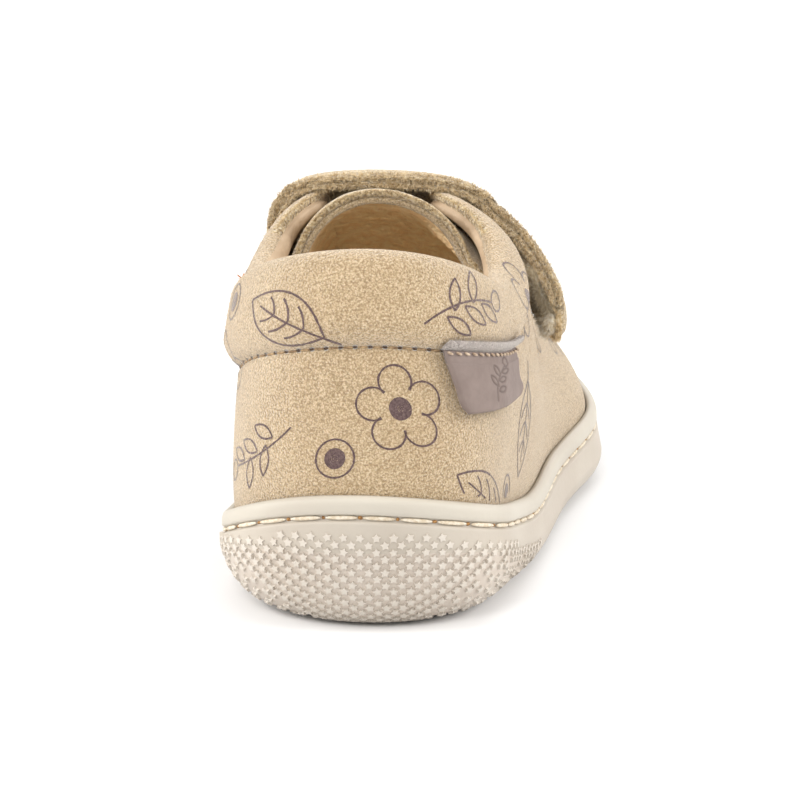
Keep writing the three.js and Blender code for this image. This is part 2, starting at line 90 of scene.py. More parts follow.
# Sections round the shoe, in even steps from the back of the heel over the outer side and the toe:
# aside, along, rim, topAside, topAlong, top, lean, full, slope, draw, band, pad, tuck, swell
sections = np.array([
    [0, 0, 1, 0.02, 0.047, 1, -2, 1, 64, 0.55, 0.252, 1, 0.33, 0.66],
    [0.49, 0.015, 0.957, 0.416, 0.064, 0.976, 2, 1, 62, 0.55, 0.242, 1, 0.37, 0.68],
    [0.863, 0.07, 0.845, 0.667, 0.12, 0.909, 4, 1, 58, 0.52, 0.217, 1, 0.39, 0.66],
    [0.973, 0.167, 0.698, 0.729, 0.193, 0.843, 6, 1.05, 46, 0.62, 0.185, 1, 0.26, 0.56],
    [1.063, 0.273, 0.573, 0.69, 0.28, 0.837, 6, 1.1, 25, 0.85, 0.167, 1, 0.15, 0.42],
    [1.077, 0.38, 0.539, 0.569, 0.347, 0.947, 5, 1.05, 20, 0.8, 0.151, 0.7, 0.12, 0.34],
    [0.995, 0.48, 0.53, 0.249, 0.407, 1.003, 2, 0.9, 10, 0.75, 0.096, 0.35, 0.12, 0.34],
    [0.987, 0.58, 0.539, 0.211, 0.5, 0.911, -5, 0.66, 10, 0.7, 0.084, 0.25, 0.13, 0.36],
    [1.053, 0.68, 0.569, 0.173, 0.573, 0.782, -8, 0.55, 10, 0.75, 0.084, 0.2, 0.13, 0.36],
    [1, 0.78, 0.603, 0.124, 0.623, 0.694, -6, 0.6, 10, 0.85, 0.084, 0.2, 0.15, 0.36],
    [0.824, 0.877, 0.651, 0.059, 0.65, 0.653, -2, 0.68, 9, 0.9, 0.084, 0.2, 0.19, 0.4],
    [0.426, 0.963, 0.711, -0.015, 0.661, 0.637, 2, 0.74, 8, 0.9, 0.084, 0.2, 0.26, 0.42],
    [-0.088, 1, 0.754, -0.088, 0.664, 0.632, 3, 0.78, 8, 0.95, 0.084, 0.2, 0.29, 0.43],
    [-0.559, 0.967, 0.724, -0.159, 0.661, 0.637, 3, 0.75, 8, 0.9, 0.084, 0.2, 0.26, 0.42],
    [-0.838, 0.887, 0.659, -0.229, 0.65, 0.653, 2, 0.72, 9, 0.88, 0.084, 0.2, 0.19, 0.39],
    [-0.947, 0.787, 0.603, -0.291, 0.623, 0.694, 2, 0.7, 10, 0.8, 0.084, 0.2, 0.15, 0.36],
    [-0.947, 0.68, 0.556, -0.334, 0.573, 0.782, 3, 0.7, 14, 0.7, 0.084, 0.2, 0.13, 0.37],
    [-0.901, 0.58, 0.517, -0.39, 0.5, 0.911, 4, 0.75, 18, 0.6, 0.084, 0.25, 0.15, 0.42],
    [-0.91, 0.48, 0.496, -0.446, 0.41, 1, 5, 0.88, 20, 0.65, 0.096, 0.35, 0.2, 0.48],
    [-0.977, 0.38, 0.491, -0.674, 0.353, 0.95, 5, 0.95, 40, 0.6, 0.159, 0.7, 0.26, 0.53],
    [-1.004, 0.273, 0.526, -0.784, 0.277, 0.846, 5, 1.02, 58, 0.55, 0.223, 1.25, 0.3, 0.6],
    [-1.016, 0.167, 0.599, -0.8, 0.193, 0.845, 4, 1, 62, 0.52, 0.245, 1.35, 0.36, 0.68],
    [-0.882, 0.07, 0.784, -0.667, 0.117, 0.916, 4, 1, 60, 0.52, 0.248, 1.25, 0.4, 0.7],
    [-0.494, 0.015, 0.948, -0.392, 0.063, 0.976, 2, 1, 62, 0.55, 0.252, 1, 0.37, 0.68],
])

# Tongue, row by row towards the toe: along, outer, inner, edge, rise, dome
tongue_rows = np.array([
    [0.333, 0.66, 0.7, 0.97, 72, 1.4],
    [0.358, 0.68, 0.7, 0.98, 64, 1.22],
    [0.385, 0.7, 0.72, 1, 50, 1.08],
    [0.42, 0.72, 0.74, 1, 38, 0.9],
    [0.47, 0.74, 0.76, 1, 26, 0.85],
    [0.53, 0.76, 0.78, 1, 20, 0.8],
    [0.59, 0.78, 0.8, 1, 12, 0.8],
    [0.625, 0.79, 0.81, 0.97, 0, 0.8],
    [0.655, 0.79, 0.81, 0.93, -11, 0.75],
    [0.695, 0.77, 0.79, 0.84, 0, 0.7],
])

# How far the strap stands off the upper, down each side of the shoe: share of height, share of the lift
strap_inner = np.array([[0.46, 0], [0.56, 0], [0.66, 0], [0.75, 0], [0.83, 0.05], [0.9, 0.12]])
strap_outer = np.array([
    [0.9, 0.04], [0.83, 0.2], [0.75, 0.42], [0.67, 0.6], [0.59, 0.76], [0.51, 0.88], [0.43, 0.96],
    [0.36, 1.0],
])

# Tab folded over the collar seam: level below it, and its edges round the shoe in sections
tab_levels = np.array([
    [-1, 1.16, 3.1], [-0.5, 1.1, 3.18], [0, 1.1, 3.08], [0.3, 1.17, 3.06], [0.65, 1.29, 3.1],
    [0.93, 1.4, 3.1], [1, 1.47, 2.95],
])

# Creases and dents of the suede: place round the shoe, depth below the opening, turn in degrees,
# half length, half width, and how far it rises
creases = np.array([
    [0.012, 24, 4, 16, 2.6, -0.28],
    [0.965, 30, -14, 11, 2.2, -0.25],
    [0.06, 33, 12, 9, 2.0, 0.22],
    [0.225, 5.5, 58, 6, 1.3, -0.35],
    [0.80, 5.0, -52, 6, 1.3, -0.35],
    [0.20, 20, -30, 12, 2.4, -0.32],
    [0.83, 21, 24, 12, 2.4, -0.34],
    [0.36, 20, 62, 14, 1.8, -0.55],
    [0.375, 22, 70, 13, 1.6, 0.30],
    [0.645, 20, -62, 14, 1.8, -0.55],
    [0.63, 22, -70, 12, 1.6, 0.28],
    [0.45, 12, 10, 12, 2.0, -0.30],
    [0.55, 13, -8, 12, 2.0, -0.30],
])


def ramp(value, low, high):
    share = np.clip((value - low) / (high - low), 0, 1)
    return share * share * (3 - 2 * share)


def mix(a, b, share):
    return a + (b - a) * share


def length_of(vectors):
    return np.linalg.norm(vectors, axis=-1, keepdims=True)


def unit(vectors):
    return vectors / np.maximum(length_of(vectors), 1e-9)


def run_along(line):
    """How far along a line of points each of them lies."""
    return np.concatenate([[0], np.cumsum(np.linalg.norm(np.diff(line, axis=0), axis=-1))])


def round_the_shoe(values):
    count = len(values)
    pulls = 4 * np.eye(count) + np.roll(np.eye(count), 1, 0) + np.roll(np.eye(count), -1, 0)
    slopes = np.linalg.solve(pulls, 3 * (np.roll(values, -1) - np.roll(values, 1)))

    def value(t):
        place = np.mod(t, 1.0) * count
        i = np.floor(place).astype(int) % count
        j = (i + 1) % count
        u = place - np.floor(place)
        rest = 1 - u
        low = (1 + 2 * u) * rest * rest * values[i] + u * rest * rest * slopes[i]
        return low + u * u * (3 - 2 * u) * values[j] - u * u * rest * slopes[j]

    return value


def through(knots, values):
    count = len(knots)
    gaps = np.diff(knots)
    pulls = np.eye(count)
    turns = np.zeros(count)
    rises = np.diff(values) / gaps
    for i in range(1, count - 1):
        pulls[i, i - 1:i + 2] = [gaps[i - 1], 2 * (gaps[i - 1] + gaps[i]), gaps[i]]
        turns[i] = 6 * (rises[i] - rises[i - 1])
    bends = np.linalg.solve(pulls, turns)

    def value(x):
        i = np.clip(np.searchsorted(knots, x, side="right") - 1, 0, count - 2)
        gap = gaps[i]
        a = (knots[i + 1] - x) / gap
        b = 1 - a
        arch = ((a**3 - a) * bends[i] + (b**3 - b) * bends[i + 1]) * gap**2 / 6
        return a * values[i] + b * values[i + 1] + arch

    return value


def half_width(along):
    return mix(heel_width, ball_width, ramp(along, 0.3, 0.62)) / 2


def top_height(along):
    return mix(collar_height, instep_height, ramp(along, 0.15, 0.4))


side_x = round_the_shoe(sections[:, 0] * half_width(sections[:, 1]))
side_y = round_the_shoe(sections[:, 1] * shoe_length)
rim_z = round_the_shoe(sections[:, 2] * rim_height)
top_x = round_the_shoe(sections[:, 3] * half_width(sections[:, 4]))
top_y = round_the_shoe(sections[:, 4] * shoe_length)
top_z = round_the_shoe(sections[:, 5] * top_height(sections[:, 4]))
lean = round_the_shoe(np.radians(sections[:, 6]))
full = round_the_shoe(sections[:, 7])
slope = round_the_shoe(np.radians(sections[:, 8]))
draw = round_the_shoe(sections[:, 9])
band_at = round_the_shoe(sections[:, 10] * collar_height)
pad_at = round_the_shoe(sections[:, 11])
tuck_at = round_the_shoe(sections[:, 12] * half_width(sections[:, 1]))
swell_at = round_the_shoe(sections[:, 13] * sections[:, 2] * rim_height)


def floor_rise(y):
    return toe_spring * np.clip((y / shoe_length - 0.66) / 0.34, 0, 1) ** 2


def outward_at(t):
    ahead = np.stack([side_x(t + 1e-4) - side_x(t - 1e-4), side_y(t + 1e-4) - side_y(t - 1e-4)], -1)
    ahead = unit(ahead)
    return np.stack([ahead[..., 1], -ahead[..., 0], np.zeros_like(ahead[..., 0])], -1)


def set_in(t, inset, z):
    flat = np.stack([side_x(t), side_y(t), np.zeros_like(t)], -1)
    place = flat - outward_at(t) * np.asarray(inset * np.ones_like(t))[..., None]
    place[..., 2] = z
    return place


def middle_line(edge, low, high):
    """Points of the sole's middle line, level with those of an edge."""
    y = np.clip(edge[..., 1], low * shoe_length, high * shoe_length)
    return np.stack([side_x(0.5 * np.ones_like(y)) * y / shoe_length, y, 0 * y], -1)


def flare_at(t):
    return 0.2 + sole_flare * ramp(side_y(t) / shoe_length, 0.2, 0.5)


def upper_inset(t):
    return rim_wall + flare_at(t)


def skin(t, s):
    """The last's surface, from the sole's rim at s = 0 to the opening at s = 1."""
    t, s = np.broadcast_arrays(np.asarray(t, float), np.asarray(s, float))
    s = s[..., None]
    rim = set_in(t, upper_inset(t), rim_z(t))
    top = np.stack([top_x(t), top_y(t), top_z(t)], -1)
    span = top - rim
    reach = length_of(span)
    inward = unit(span * [1, 1, 0])
    up = np.array([0, 0, 1.0])
    leave = outward_at(t) * np.sin(lean(t))[..., None] + up * np.cos(lean(t))[..., None]
    arrive = inward * np.cos(slope(t))[..., None] + up * np.sin(slope(t))[..., None]
    leave = leave * reach * full(t)[..., None]
    arrive = arrive * reach * draw(t)[..., None]
    rest = 1 - s
    low = rim * (1 + 2 * s) * rest * rest + leave * s * rest * rest
    return low + top * s * s * (3 - 2 * s) - arrive * s * s * rest


def skin_facing(t, s):
    s = np.minimum(s, 0.999)
    round_it = skin(t + 1e-3, s) - skin(t - 1e-3, s)
    up_it = skin(t, np.minimum(1, s + 1e-3)) - skin(t, s - 1e-3)
    return unit(np.cross(round_it, up_it))


def share_below_top(t, distance):
    t, distance = np.broadcast_arrays(np.asarray(t, float), np.asarray(distance, float))
    places, which = np.unique(t.ravel(), return_inverse=True)
    ladder = np.linspace(1, 0, 41)
    rungs = skin(places[:, None], ladder[None, :])
    runs = np.cumsum(np.linalg.norm(np.diff(rungs, axis=1), axis=-1), axis=1)
    runs = np.concatenate([np.zeros((len(places), 1)), runs], axis=1)
    wanted = distance.ravel()
    found = np.empty(len(wanted))
    order = np.argsort(which, kind="stable")
    bounds = np.searchsorted(which[order], np.arange(len(places) + 1))
    for i in range(len(places)):
        chosen = order[bounds[i]:bounds[i + 1]]
        found[chosen] = np.interp(wanted[chosen], runs[i], ladder)
    return found.reshape(t.shape)


def wall_offsets(t, across):
    pad = pad_at(t)
    swelling = np.where(across < 0, 0, 1 - (1 - np.clip(across / 0.32, 0, 1)) ** 2)
    outer = collar_pad * pad * swelling
    inner = upper_wall + collar_pad_inside * np.sqrt(pad) * swelling
    thickness = outer + inner
    middle = (outer - inner) / 2
    edge = np.clip(1 - 0.62 * thickness / band_at(t), 0.3, 0.95)
    squareness = mix(5, 2.2, np.clip(pad, 0, 1))
    to_edge = np.clip((across - edge) / (1 - edge), 0, 1)
    closing = (1 - to_edge**squareness) ** (1 / squareness)
    return middle + thickness / 2 * closing, middle - thickness / 2 * closing


def across_at(t, closing):
    """How far up the band the wall has closed to this share of its thickness."""
    pad = pad_at(t)
    thickness = collar_pad * pad + upper_wall + collar_pad_inside * np.sqrt(pad)
    edge = np.clip(1 - 0.62 * thickness / band_at(t), 0.3, 0.95)
    squareness = mix(5, 2.2, np.clip(pad, 0, 1))
    return edge + (1 - edge) * (1 - closing**squareness) ** (1 / squareness)


def cut_edge(t):
    """1 along the facings, whose edges are cut, and 0 round the padded collar."""
    return ramp(t, 0.185, 0.21) * (1 - ramp(t, 0.79, 0.815))


def creased(t, below):
    rise = np.zeros(np.broadcast(t, below).shape)
    for place, depth, turn, half_long, half_wide, height in creases:
        pace = length_of(skin(place + 1e-3, 0.6) - skin(place - 1e-3, 0.6))[0] / 2e-3
        run = (np.mod(t - place + 0.5, 1) - 0.5) * pace
        drop = below - depth
        c, s = math.cos(math.radians(turn)), math.sin(math.radians(turn))
        along = run * c - drop * s
        across = run * s + drop * c
        rise = rise + height * np.exp(-((along / half_long) ** 2) * 1.4 - (across / half_wide) ** 2)
    return rise


def suede_place(t, below, push=0.0):
    """A point of the upper's outer face, at a distance below the opening, measured along the skin."""
    t, below = np.broadcast_arrays(np.asarray(t, float), np.asarray(below, float))
    s = share_below_top(t, below)
    band = band_at(t)
    outer, _ = wall_offsets(t, 1 - below / band)
    seam = -0.34 * np.exp(-(((below - band) / 0.55) ** 2))
    shape = creased(t, below) * ramp(below, 0.5, 4)
    offset = outer + seam + shape + push
    return skin(t, s) + skin_facing(t, s) * offset[..., None]


def lining_place(t, below):
    s = share_below_top(t, below)
    _, inner = wall_offsets(t, 1 - below / band_at(t))
    return skin(t, s) + skin_facing(t, s) * inner[..., None]


def on_frame(points):
    return (np.asarray(points) - drawn_middle) / 1000


# Making meshes

def placed(name, mesh, finishes, smooth=True):
    piece = bpy.data.objects.new(name, mesh)
    bpy.context.scene.collection.objects.link(piece)
    for finish in finishes:
        mesh.materials.append(finish)
    mesh.polygons.foreach_set("use_smooth", [smooth] * len(mesh.polygons))
    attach(piece, "root")
    return piece


def finished(name, sheet, finishes, replaces=()):
    mesh = bpy.data.meshes.new(name)
    sheet.to_mesh(mesh)
    sheet.free()
    piece = placed(name, mesh, finishes)
    if replaces:
        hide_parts(*replaces)


def lay_rows(rows, finishes=None, seams=None, pressed=None):
    """A sheet of quads through rows of points. Equal neighbours are merged, so rows may close."""
    rows = np.asarray(rows)
    finishes = None if finishes is None else np.asarray(finishes)
    high, wide = rows.shape[:2]
    sheet = bmesh.new()
    bmesh.ops.create_grid(sheet, x_segments=wide - 1, y_segments=high - 1, size=1)
    column = [round((v.co.x + 1) / 2 * (wide - 1)) for v in sheet.verts]
    row = [round((v.co.y + 1) / 2 * (high - 1)) for v in sheet.verts]
    places = on_frame(rows[row, column])
    seam_map = sheet.loops.layers.uv.new("seam") if seams is not None else None
    press = sheet.verts.layers.float.new("pressed") if pressed is not None else None
    for vert, place in zip(sheet.verts, places):
        vert.co = place
        if press is not None:
            vert[press] = pressed[row[vert.index], column[vert.index]]
    for face in sheet.faces:
        numbers = [v.index for v in face.verts]
        if finishes is not None:
            first = min(row[n] for n in numbers)
            left = min(column[n] for n in numbers)
            face.material_index = int(finishes[first] if finishes.ndim == 1 else finishes[first, left])
        if seam_map is not None:
            for loop, n in zip(face.loops, numbers):
                loop[seam_map].uv = seams[row[n], column[n]]
    bmesh.ops.remove_doubles(sheet, verts=sheet.verts, dist=2e-6)
    return sheet


def close_ends(sheet):
    """Fills what is open with flat facets."""
    open_edges = [e for e in sheet.edges if e.is_boundary]
    bmesh.ops.holes_fill(sheet, edges=open_edges, sides=0)
    bmesh.ops.triangulate(sheet, faces=[f for f in sheet.faces if len(f.verts) > 4])
    bmesh.ops.recalc_face_normals(sheet, faces=sheet.faces)
    return sheet


def strew(name, seed, places, along, outward, sizes, finish, smooth=False, lowest=-1.0):
    """Many copies of one small shape as one mesh, each turned along its row and outward."""
    seed.verts.ensure_lookup_table()
    shape = np.array([v.co for v in seed.verts])
    corners = [[v.index for v in face.verts] for face in seed.faces]
    seed.free()
    outward = unit(outward)
    across = unit(np.cross(outward, along))
    along = np.cross(across, outward)
    sizes = np.broadcast_to(np.asarray(sizes, float), (len(places), 3))
    turned = (
        shape[None, :, 0, None] * (sizes[:, 0, None] * along)[:, None, :]
        + shape[None, :, 1, None] * (sizes[:, 1, None] * across)[:, None, :]
        + shape[None, :, 2, None] * (sizes[:, 2, None] * outward)[:, None, :]
    )
    points = on_frame(np.asarray(places)[:, None, :] + turned).reshape(-1, 3)
    points[:, 2] = np.maximum(points[:, 2], lowest)
    faces = [[c + len(shape) * i for c in corner] for i in range(len(places)) for corner in corners]
    mesh = bpy.data.meshes.new(name)
    mesh.from_pydata(points.tolist(), [], faces)
    placed(name, mesh, [finish], smooth)


# Colours and finishes

def colour(red, green, blue):
    def linear(level):
        level = level / 255
        return level / 12.92 if level <= 0.04045 else ((level + 0.055) / 1.055) ** 2.4
    return (linear(red), linear(green), linear(blue), 1.0)


def link(tree, start, end):
    tree.links.new(start, end)


def math_node(tree, operation, first, second=None, clamp=False):
    node = tree.nodes.new("ShaderNodeMath")
    node.operation = operation
    node.use_clamp = clamp
    for socket, value in zip(node.inputs, (first, second)):
        if value is None:
            continue
        if isinstance(value, bpy.types.NodeSocket):
            link(tree, value, socket)
        else:
            socket.default_value = value
    return node.outputs[0]


def blend_colour(tree, share, first, second, kind="MIX"):
    node = tree.nodes.new("ShaderNodeMix")
    node.data_type = "RGBA"
    node.blend_type = kind
    for name, value in (("Factor_Float", share), ("A_Color", first), ("B_Color", second)):
        socket = next(s for s in node.inputs if s.identifier == name)
        if isinstance(value, bpy.types.NodeSocket):
            link(tree, value, socket)
        else:
            socket.default_value = value
    return next(s for s in node.outputs if s.identifier == "Result_Color")


def noise_node(tree, where, scale, detail=2.0, rough=0.5):
    node = tree.nodes.new("ShaderNodeTexNoise")
    link(tree, where, node.inputs["Vector"])
    node.inputs["Detail"].default_value = detail
    node.inputs["Roughness"].default_value = rough
    if isinstance(scale, bpy.types.NodeSocket):
        link(tree, scale, node.inputs["Scale"])
    else:
        node.inputs["Scale"].default_value = scale
    return node.outputs["Fac"]


def spread(tree, value, low, high):
    node = tree.nodes.new("ShaderNodeMapRange")
    node.interpolation_type = "SMOOTHSTEP"
    link(tree, value, node.inputs["Value"])
    node.inputs["From Min"].default_value = low
    node.inputs["From Max"].default_value = high
    return node.outputs["Result"]


def new_group(name, inputs, outputs):
    tree = bpy.data.node_groups.new(name, "ShaderNodeTree")
    for socket_name, kind, default in inputs:
        made = tree.interface.new_socket(name=socket_name, in_out="INPUT", socket_type=kind)
        made.default_value = default
    for socket_name, kind in outputs:
        tree.interface.new_socket(name=socket_name, in_out="OUTPUT", socket_type=kind)
    return tree, tree.nodes.new("NodeGroupInput"), tree.nodes.new("NodeGroupOutput")


def suede_nap_group():
    """Pebbly nap: its height, a tone taken from that height (the grain's own mottle, with painted shade in
    its hollows and painted light on its tips), and slow patches.
    """
    tree, given, out = new_group(
        "suede_nap",
        [("Grain", "NodeSocketFloat", 2100.0), ("Patches", "NodeSocketFloat", 95.0)],
        [("Height", "NodeSocketFloat"), ("Shaded tone", "NodeSocketFloat"), ("Patch", "NodeSocketFloat")],
    )
    where = tree.nodes.new("ShaderNodeTexCoord").outputs["Object"]
    coarse = noise_node(tree, where, given.outputs["Grain"], 3.0, 0.62)
    fine_scale = math_node(tree, "MULTIPLY", given.outputs["Grain"], 2.3)
    fine = noise_node(tree, where, fine_scale, 1.0, 0.5)
    pebbles = tree.nodes.new("ShaderNodeTexVoronoi")
    pebbles.feature = "SMOOTH_F1"
    pebbles.inputs["Smoothness"].default_value = 0.6
    link(tree, where, pebbles.inputs["Vector"])
    link(tree, given.outputs["Grain"], pebbles.inputs["Scale"])
    mounds = math_node(tree, "SUBTRACT", 1.0, pebbles.outputs["Distance"])
    height = math_node(tree, "MULTIPLY", coarse, 1.1)
    height = math_node(tree, "ADD", height, math_node(tree, "MULTIPLY", mounds, 0.45))
    height = math_node(tree, "ADD", height, math_node(tree, "MULTIPLY", fine, 0.22))
    patch = noise_node(tree, where, given.outputs["Patches"], 3.0, 0.55)
    link(tree, height, out.inputs["Height"])
    # Painted shade and highlight: the tone follows the grain's height, darker in its hollows and lighter on
    # its tips.
    link(tree, spread(tree, height, 0.62, 1.32), out.inputs["Shaded tone"])
    link(tree, spread(tree, patch, 0.3, 0.7), out.inputs["Patch"])
    return tree


def seam_shade_group():
    """Masks from the seam map in millimetres for painted shade along a seam: the dark inside a row of needle
    holes, and a shadow line in the seam's crease.
    """
    tree, given, out = new_group(
        "seam_hole_shade",
        [("Pitch", "NodeSocketFloat", 2.4), ("Half length", "NodeSocketFloat", 0.5),
         ("Half height", "NodeSocketFloat", 0.27)],
        [("Hole", "NodeSocketFloat"), ("Line", "NodeSocketFloat")],
    )
    uv = tree.nodes.new("ShaderNodeUVMap")
    uv.uv_map = "seam"
    apart = tree.nodes.new("ShaderNodeSeparateXYZ")
    link(tree, uv.outputs["UV"], apart.inputs["Vector"])
    step = math_node(tree, "DIVIDE", apart.outputs["X"], given.outputs["Pitch"])
    off = math_node(tree, "SUBTRACT", math_node(tree, "FRACT", step), 0.5)
    run = math_node(tree, "MULTIPLY", off, given.outputs["Pitch"])
    run = math_node(tree, "DIVIDE", run, given.outputs["Half length"])
    rise = math_node(tree, "DIVIDE", apart.outputs["Y"], given.outputs["Half height"])
    far = math_node(tree, "ADD", math_node(tree, "POWER", run, 2.0), math_node(tree, "POWER", rise, 2.0))
    where = tree.nodes.new("ShaderNodeTexCoord").outputs["Object"]
    far = math_node(tree, "ADD", far, math_node(tree, "MULTIPLY", noise_node(tree, where, 900.0), 1.1))
    hole = spread(tree, far, 1.75, 0.85)
    line = spread(tree, math_node(tree, "ABSOLUTE", apart.outputs["Y"]), 0.32, 0.05)
    link(tree, hole, out.inputs["Hole"])
    link(tree, line, out.inputs["Line"])
    return tree


nap_group = suede_nap_group()
hole_group = seam_shade_group()


def new_finish(name, **settings):
    finish = bpy.data.materials.new(name)
    finish.use_nodes = True
    shader = finish.node_tree.nodes["Principled BSDF"]
    for socket, value in settings.items():
        shader.inputs[socket.replace("_", " ")].default_value = value
    return finish, finish.node_tree, shader


def add_group(tree, group, **settings):
    node = tree.nodes.new("ShaderNodeGroup")
    node.node_tree = group
    for socket, value in settings.items():
        node.inputs[socket.replace("_", " ")].default_value = value
    return node


def raise_by(tree, shader, height, depth, strength=1.0):
    bump = tree.nodes.new("ShaderNodeBump")
    bump.inputs["Distance"].default_value = depth
    bump.inputs["Strength"].default_value = strength
    link(tree, height, bump.inputs["Height"])
    link(tree, bump.outputs["Normal"], shader.inputs["Normal"])
    return bump


def suede(name, dark, middle, light, grain=2100.0, depth=0.0002, patch=0.10, holes=None):
    finish, tree, shader = new_finish(name, Roughness=0.95, Sheen_Weight=0.8, Sheen_Roughness=0.45,
                                       Sheen_Tint=(1.0, 0.95, 0.88, 1.0), Specular_IOR_Level=0.2)
    nap = add_group(tree, nap_group, Grain=grain)
    tones = tree.nodes.new("ShaderNodeValToRGB")
    tones.color_ramp.elements[0].color = dark
    tones.color_ramp.elements[1].color = light
    tones.color_ramp.elements.new(0.45).color = middle
    # The nap's tone sets the colour, so the grain's hollows carry painted shade and its tips painted light.
    link(tree, nap.outputs["Shaded tone"], tones.inputs["Fac"])
    weak = math_node(tree, "MULTIPLY", nap.outputs["Patch"], patch)
    cast = blend_colour(tree, weak, tones.outputs["Color"], (0.55, 0.38, 0.22, 1), "MULTIPLY")
    height = nap.outputs["Height"]
    # Painted shade: the seam's crease gets a darker line and its needle holes a dark brown, both painted into
    # the colour.
    if holes is not None:
        row = add_group(tree, hole_group, **holes)
        shade = math_node(tree, "MULTIPLY", row.outputs["Line"], 0.4)
        cast = blend_colour(tree, shade, cast, colour(138, 110, 78))
        cast = blend_colour(tree, row.outputs["Hole"], cast, colour(72, 46, 28))
        height = math_node(tree, "SUBTRACT", height, math_node(tree, "MULTIPLY", row.outputs["Hole"], 2.0))
    link(tree, cast, shader.inputs["Base Color"])
    raise_by(tree, shader, height, depth)
    return finish


def smooth_leather(name, base, shade, depth=0.00012, pores=1500.0, folds=130.0, roughness=0.5, pressed=None):
    finish, tree, shader = new_finish(name, Roughness=roughness, Specular_IOR_Level=0.35)
    where = tree.nodes.new("ShaderNodeTexCoord").outputs["Object"]
    fine = noise_node(tree, where, pores, 3.0, 0.6)
    fold = noise_node(tree, where, folds, 3.0, 0.6)
    tone = blend_colour(tree, spread(tree, fold, 0.3, 0.7), base, shade)
    tone = blend_colour(tree, math_node(tree, "MULTIPLY", fine, 0.25), tone, shade)
    if pressed is not None:
        line = tree.nodes.new("ShaderNodeAttribute")
        line.attribute_name = "pressed"
        tone = blend_colour(tree, line.outputs["Fac"], tone, pressed)
    link(tree, tone, shader.inputs["Base Color"])
    grain = math_node(tree, "MULTIPLY", fine, 0.35)
    height = math_node(tree, "ADD", grain, math_node(tree, "MULTIPLY", fold, 2.2))
    raise_by(tree, shader, height, depth)
    return finish


def rubber(name, base, shade, depth=0.00005, scale=700.0):
    finish, tree, shader = new_finish(name, Roughness=0.55, Specular_IOR_Level=0.4)
    where = tree.nodes.new("ShaderNodeTexCoord").outputs["Object"]
    fine = noise_node(tree, where, scale, 3.0, 0.6)
    slow = noise_node(tree, where, 60.0, 2.0, 0.5)
    tone = blend_colour(tree, spread(tree, slow, 0.35, 0.7), base, shade)
    link(tree, tone, shader.inputs["Base Color"])
    raise_by(tree, shader, fine, depth)
    return finish


def thread(name, base, shade, ply=1500.0):
    finish, tree, shader = new_finish(name, Roughness=0.7)
    where = tree.nodes.new("ShaderNodeTexCoord").outputs["Object"]
    fibres = noise_node(tree, where, ply, 2.0, 0.6)
    link(tree, blend_colour(tree, spread(tree, fibres, 0.35, 0.65), shade, base), shader.inputs["Base Color"])
    raise_by(tree, shader, fibres, 0.0001)
    return finish


printed_suede = suede("printed_suede", colour(160, 134, 98), colour(204, 179, 143), colour(236, 217, 185),
                      grain=3100.0, depth=0.0005, holes={"Pitch": needle_pitch, "Half_height": 0.36})
plain_suede = suede("plain_suede", colour(160, 135, 99), colour(204, 181, 145), colour(236, 218, 186),
                    grain=3100.0, depth=0.0005)
strap_suede = suede("strap_suede", colour(150, 122, 80), colour(210, 186, 142), colour(246, 228, 190),
                    grain=2300.0, depth=0.0007)
raw_edge = suede("raw_suede_edge", colour(144, 116, 74), colour(214, 190, 146), colour(252, 238, 204),
                 grain=2000.0, depth=0.0009)
edge_fibre = suede("suede_fibre", colour(172, 145, 100), colour(228, 206, 164), colour(252, 242, 218),
                   grain=1300.0)
nap_fibre = suede("nap_fibre", colour(196, 170, 132), colour(214, 190, 154), colour(232, 212, 180),
                  grain=700.0)
# The facings' lining: its own greyish-beige tone, darkened further with painted shade, as it lies in shadow
# inside the throat.
flap_lining_shaded = smooth_leather("flap_lining_shaded", colour(201, 178, 150), colour(172, 147, 119), depth=0.0005)
collar_lining = smooth_leather("collar_lining", colour(246, 234, 214), colour(232, 216, 190), depth=0.0003)
tongue_lining = smooth_leather("tongue_lining", colour(250, 226, 184), colour(236, 200, 152), depth=0.0006,
                               pores=1500.0, folds=520.0, roughness=0.5)
footbed_leather = smooth_leather("footbed_leather", colour(246, 231, 202), colour(234, 214, 178))
# One rubber in several copies: the band below the groove is darker with painted shade, the ground between the
# stars darker with painted shade and a little pinker in its own tone, and the stars lighter with painted
# light.
sole_rubber = rubber("sole_rubber", colour(187, 180, 167), colour(181, 173, 160))
sole_band_rubber_shaded = rubber("sole_band_rubber_shaded", colour(182, 173, 160), colour(176, 166, 153))
tread_ground_shaded = rubber("tread_ground_shaded", colour(194, 183, 171), colour(188, 176, 163))
star_rubber_lit = rubber("star_rubber_lit", colour(200, 192, 181), colour(195, 186, 174))
seam_thread = thread("seam_thread", colour(176, 150, 112), colour(120, 94, 66))
tongue_seam = thread("tongue_seam", colour(104, 80, 58), colour(70, 52, 38))
sole_thread = thread("sole_thread", colour(216, 206, 188), colour(196, 180, 154))
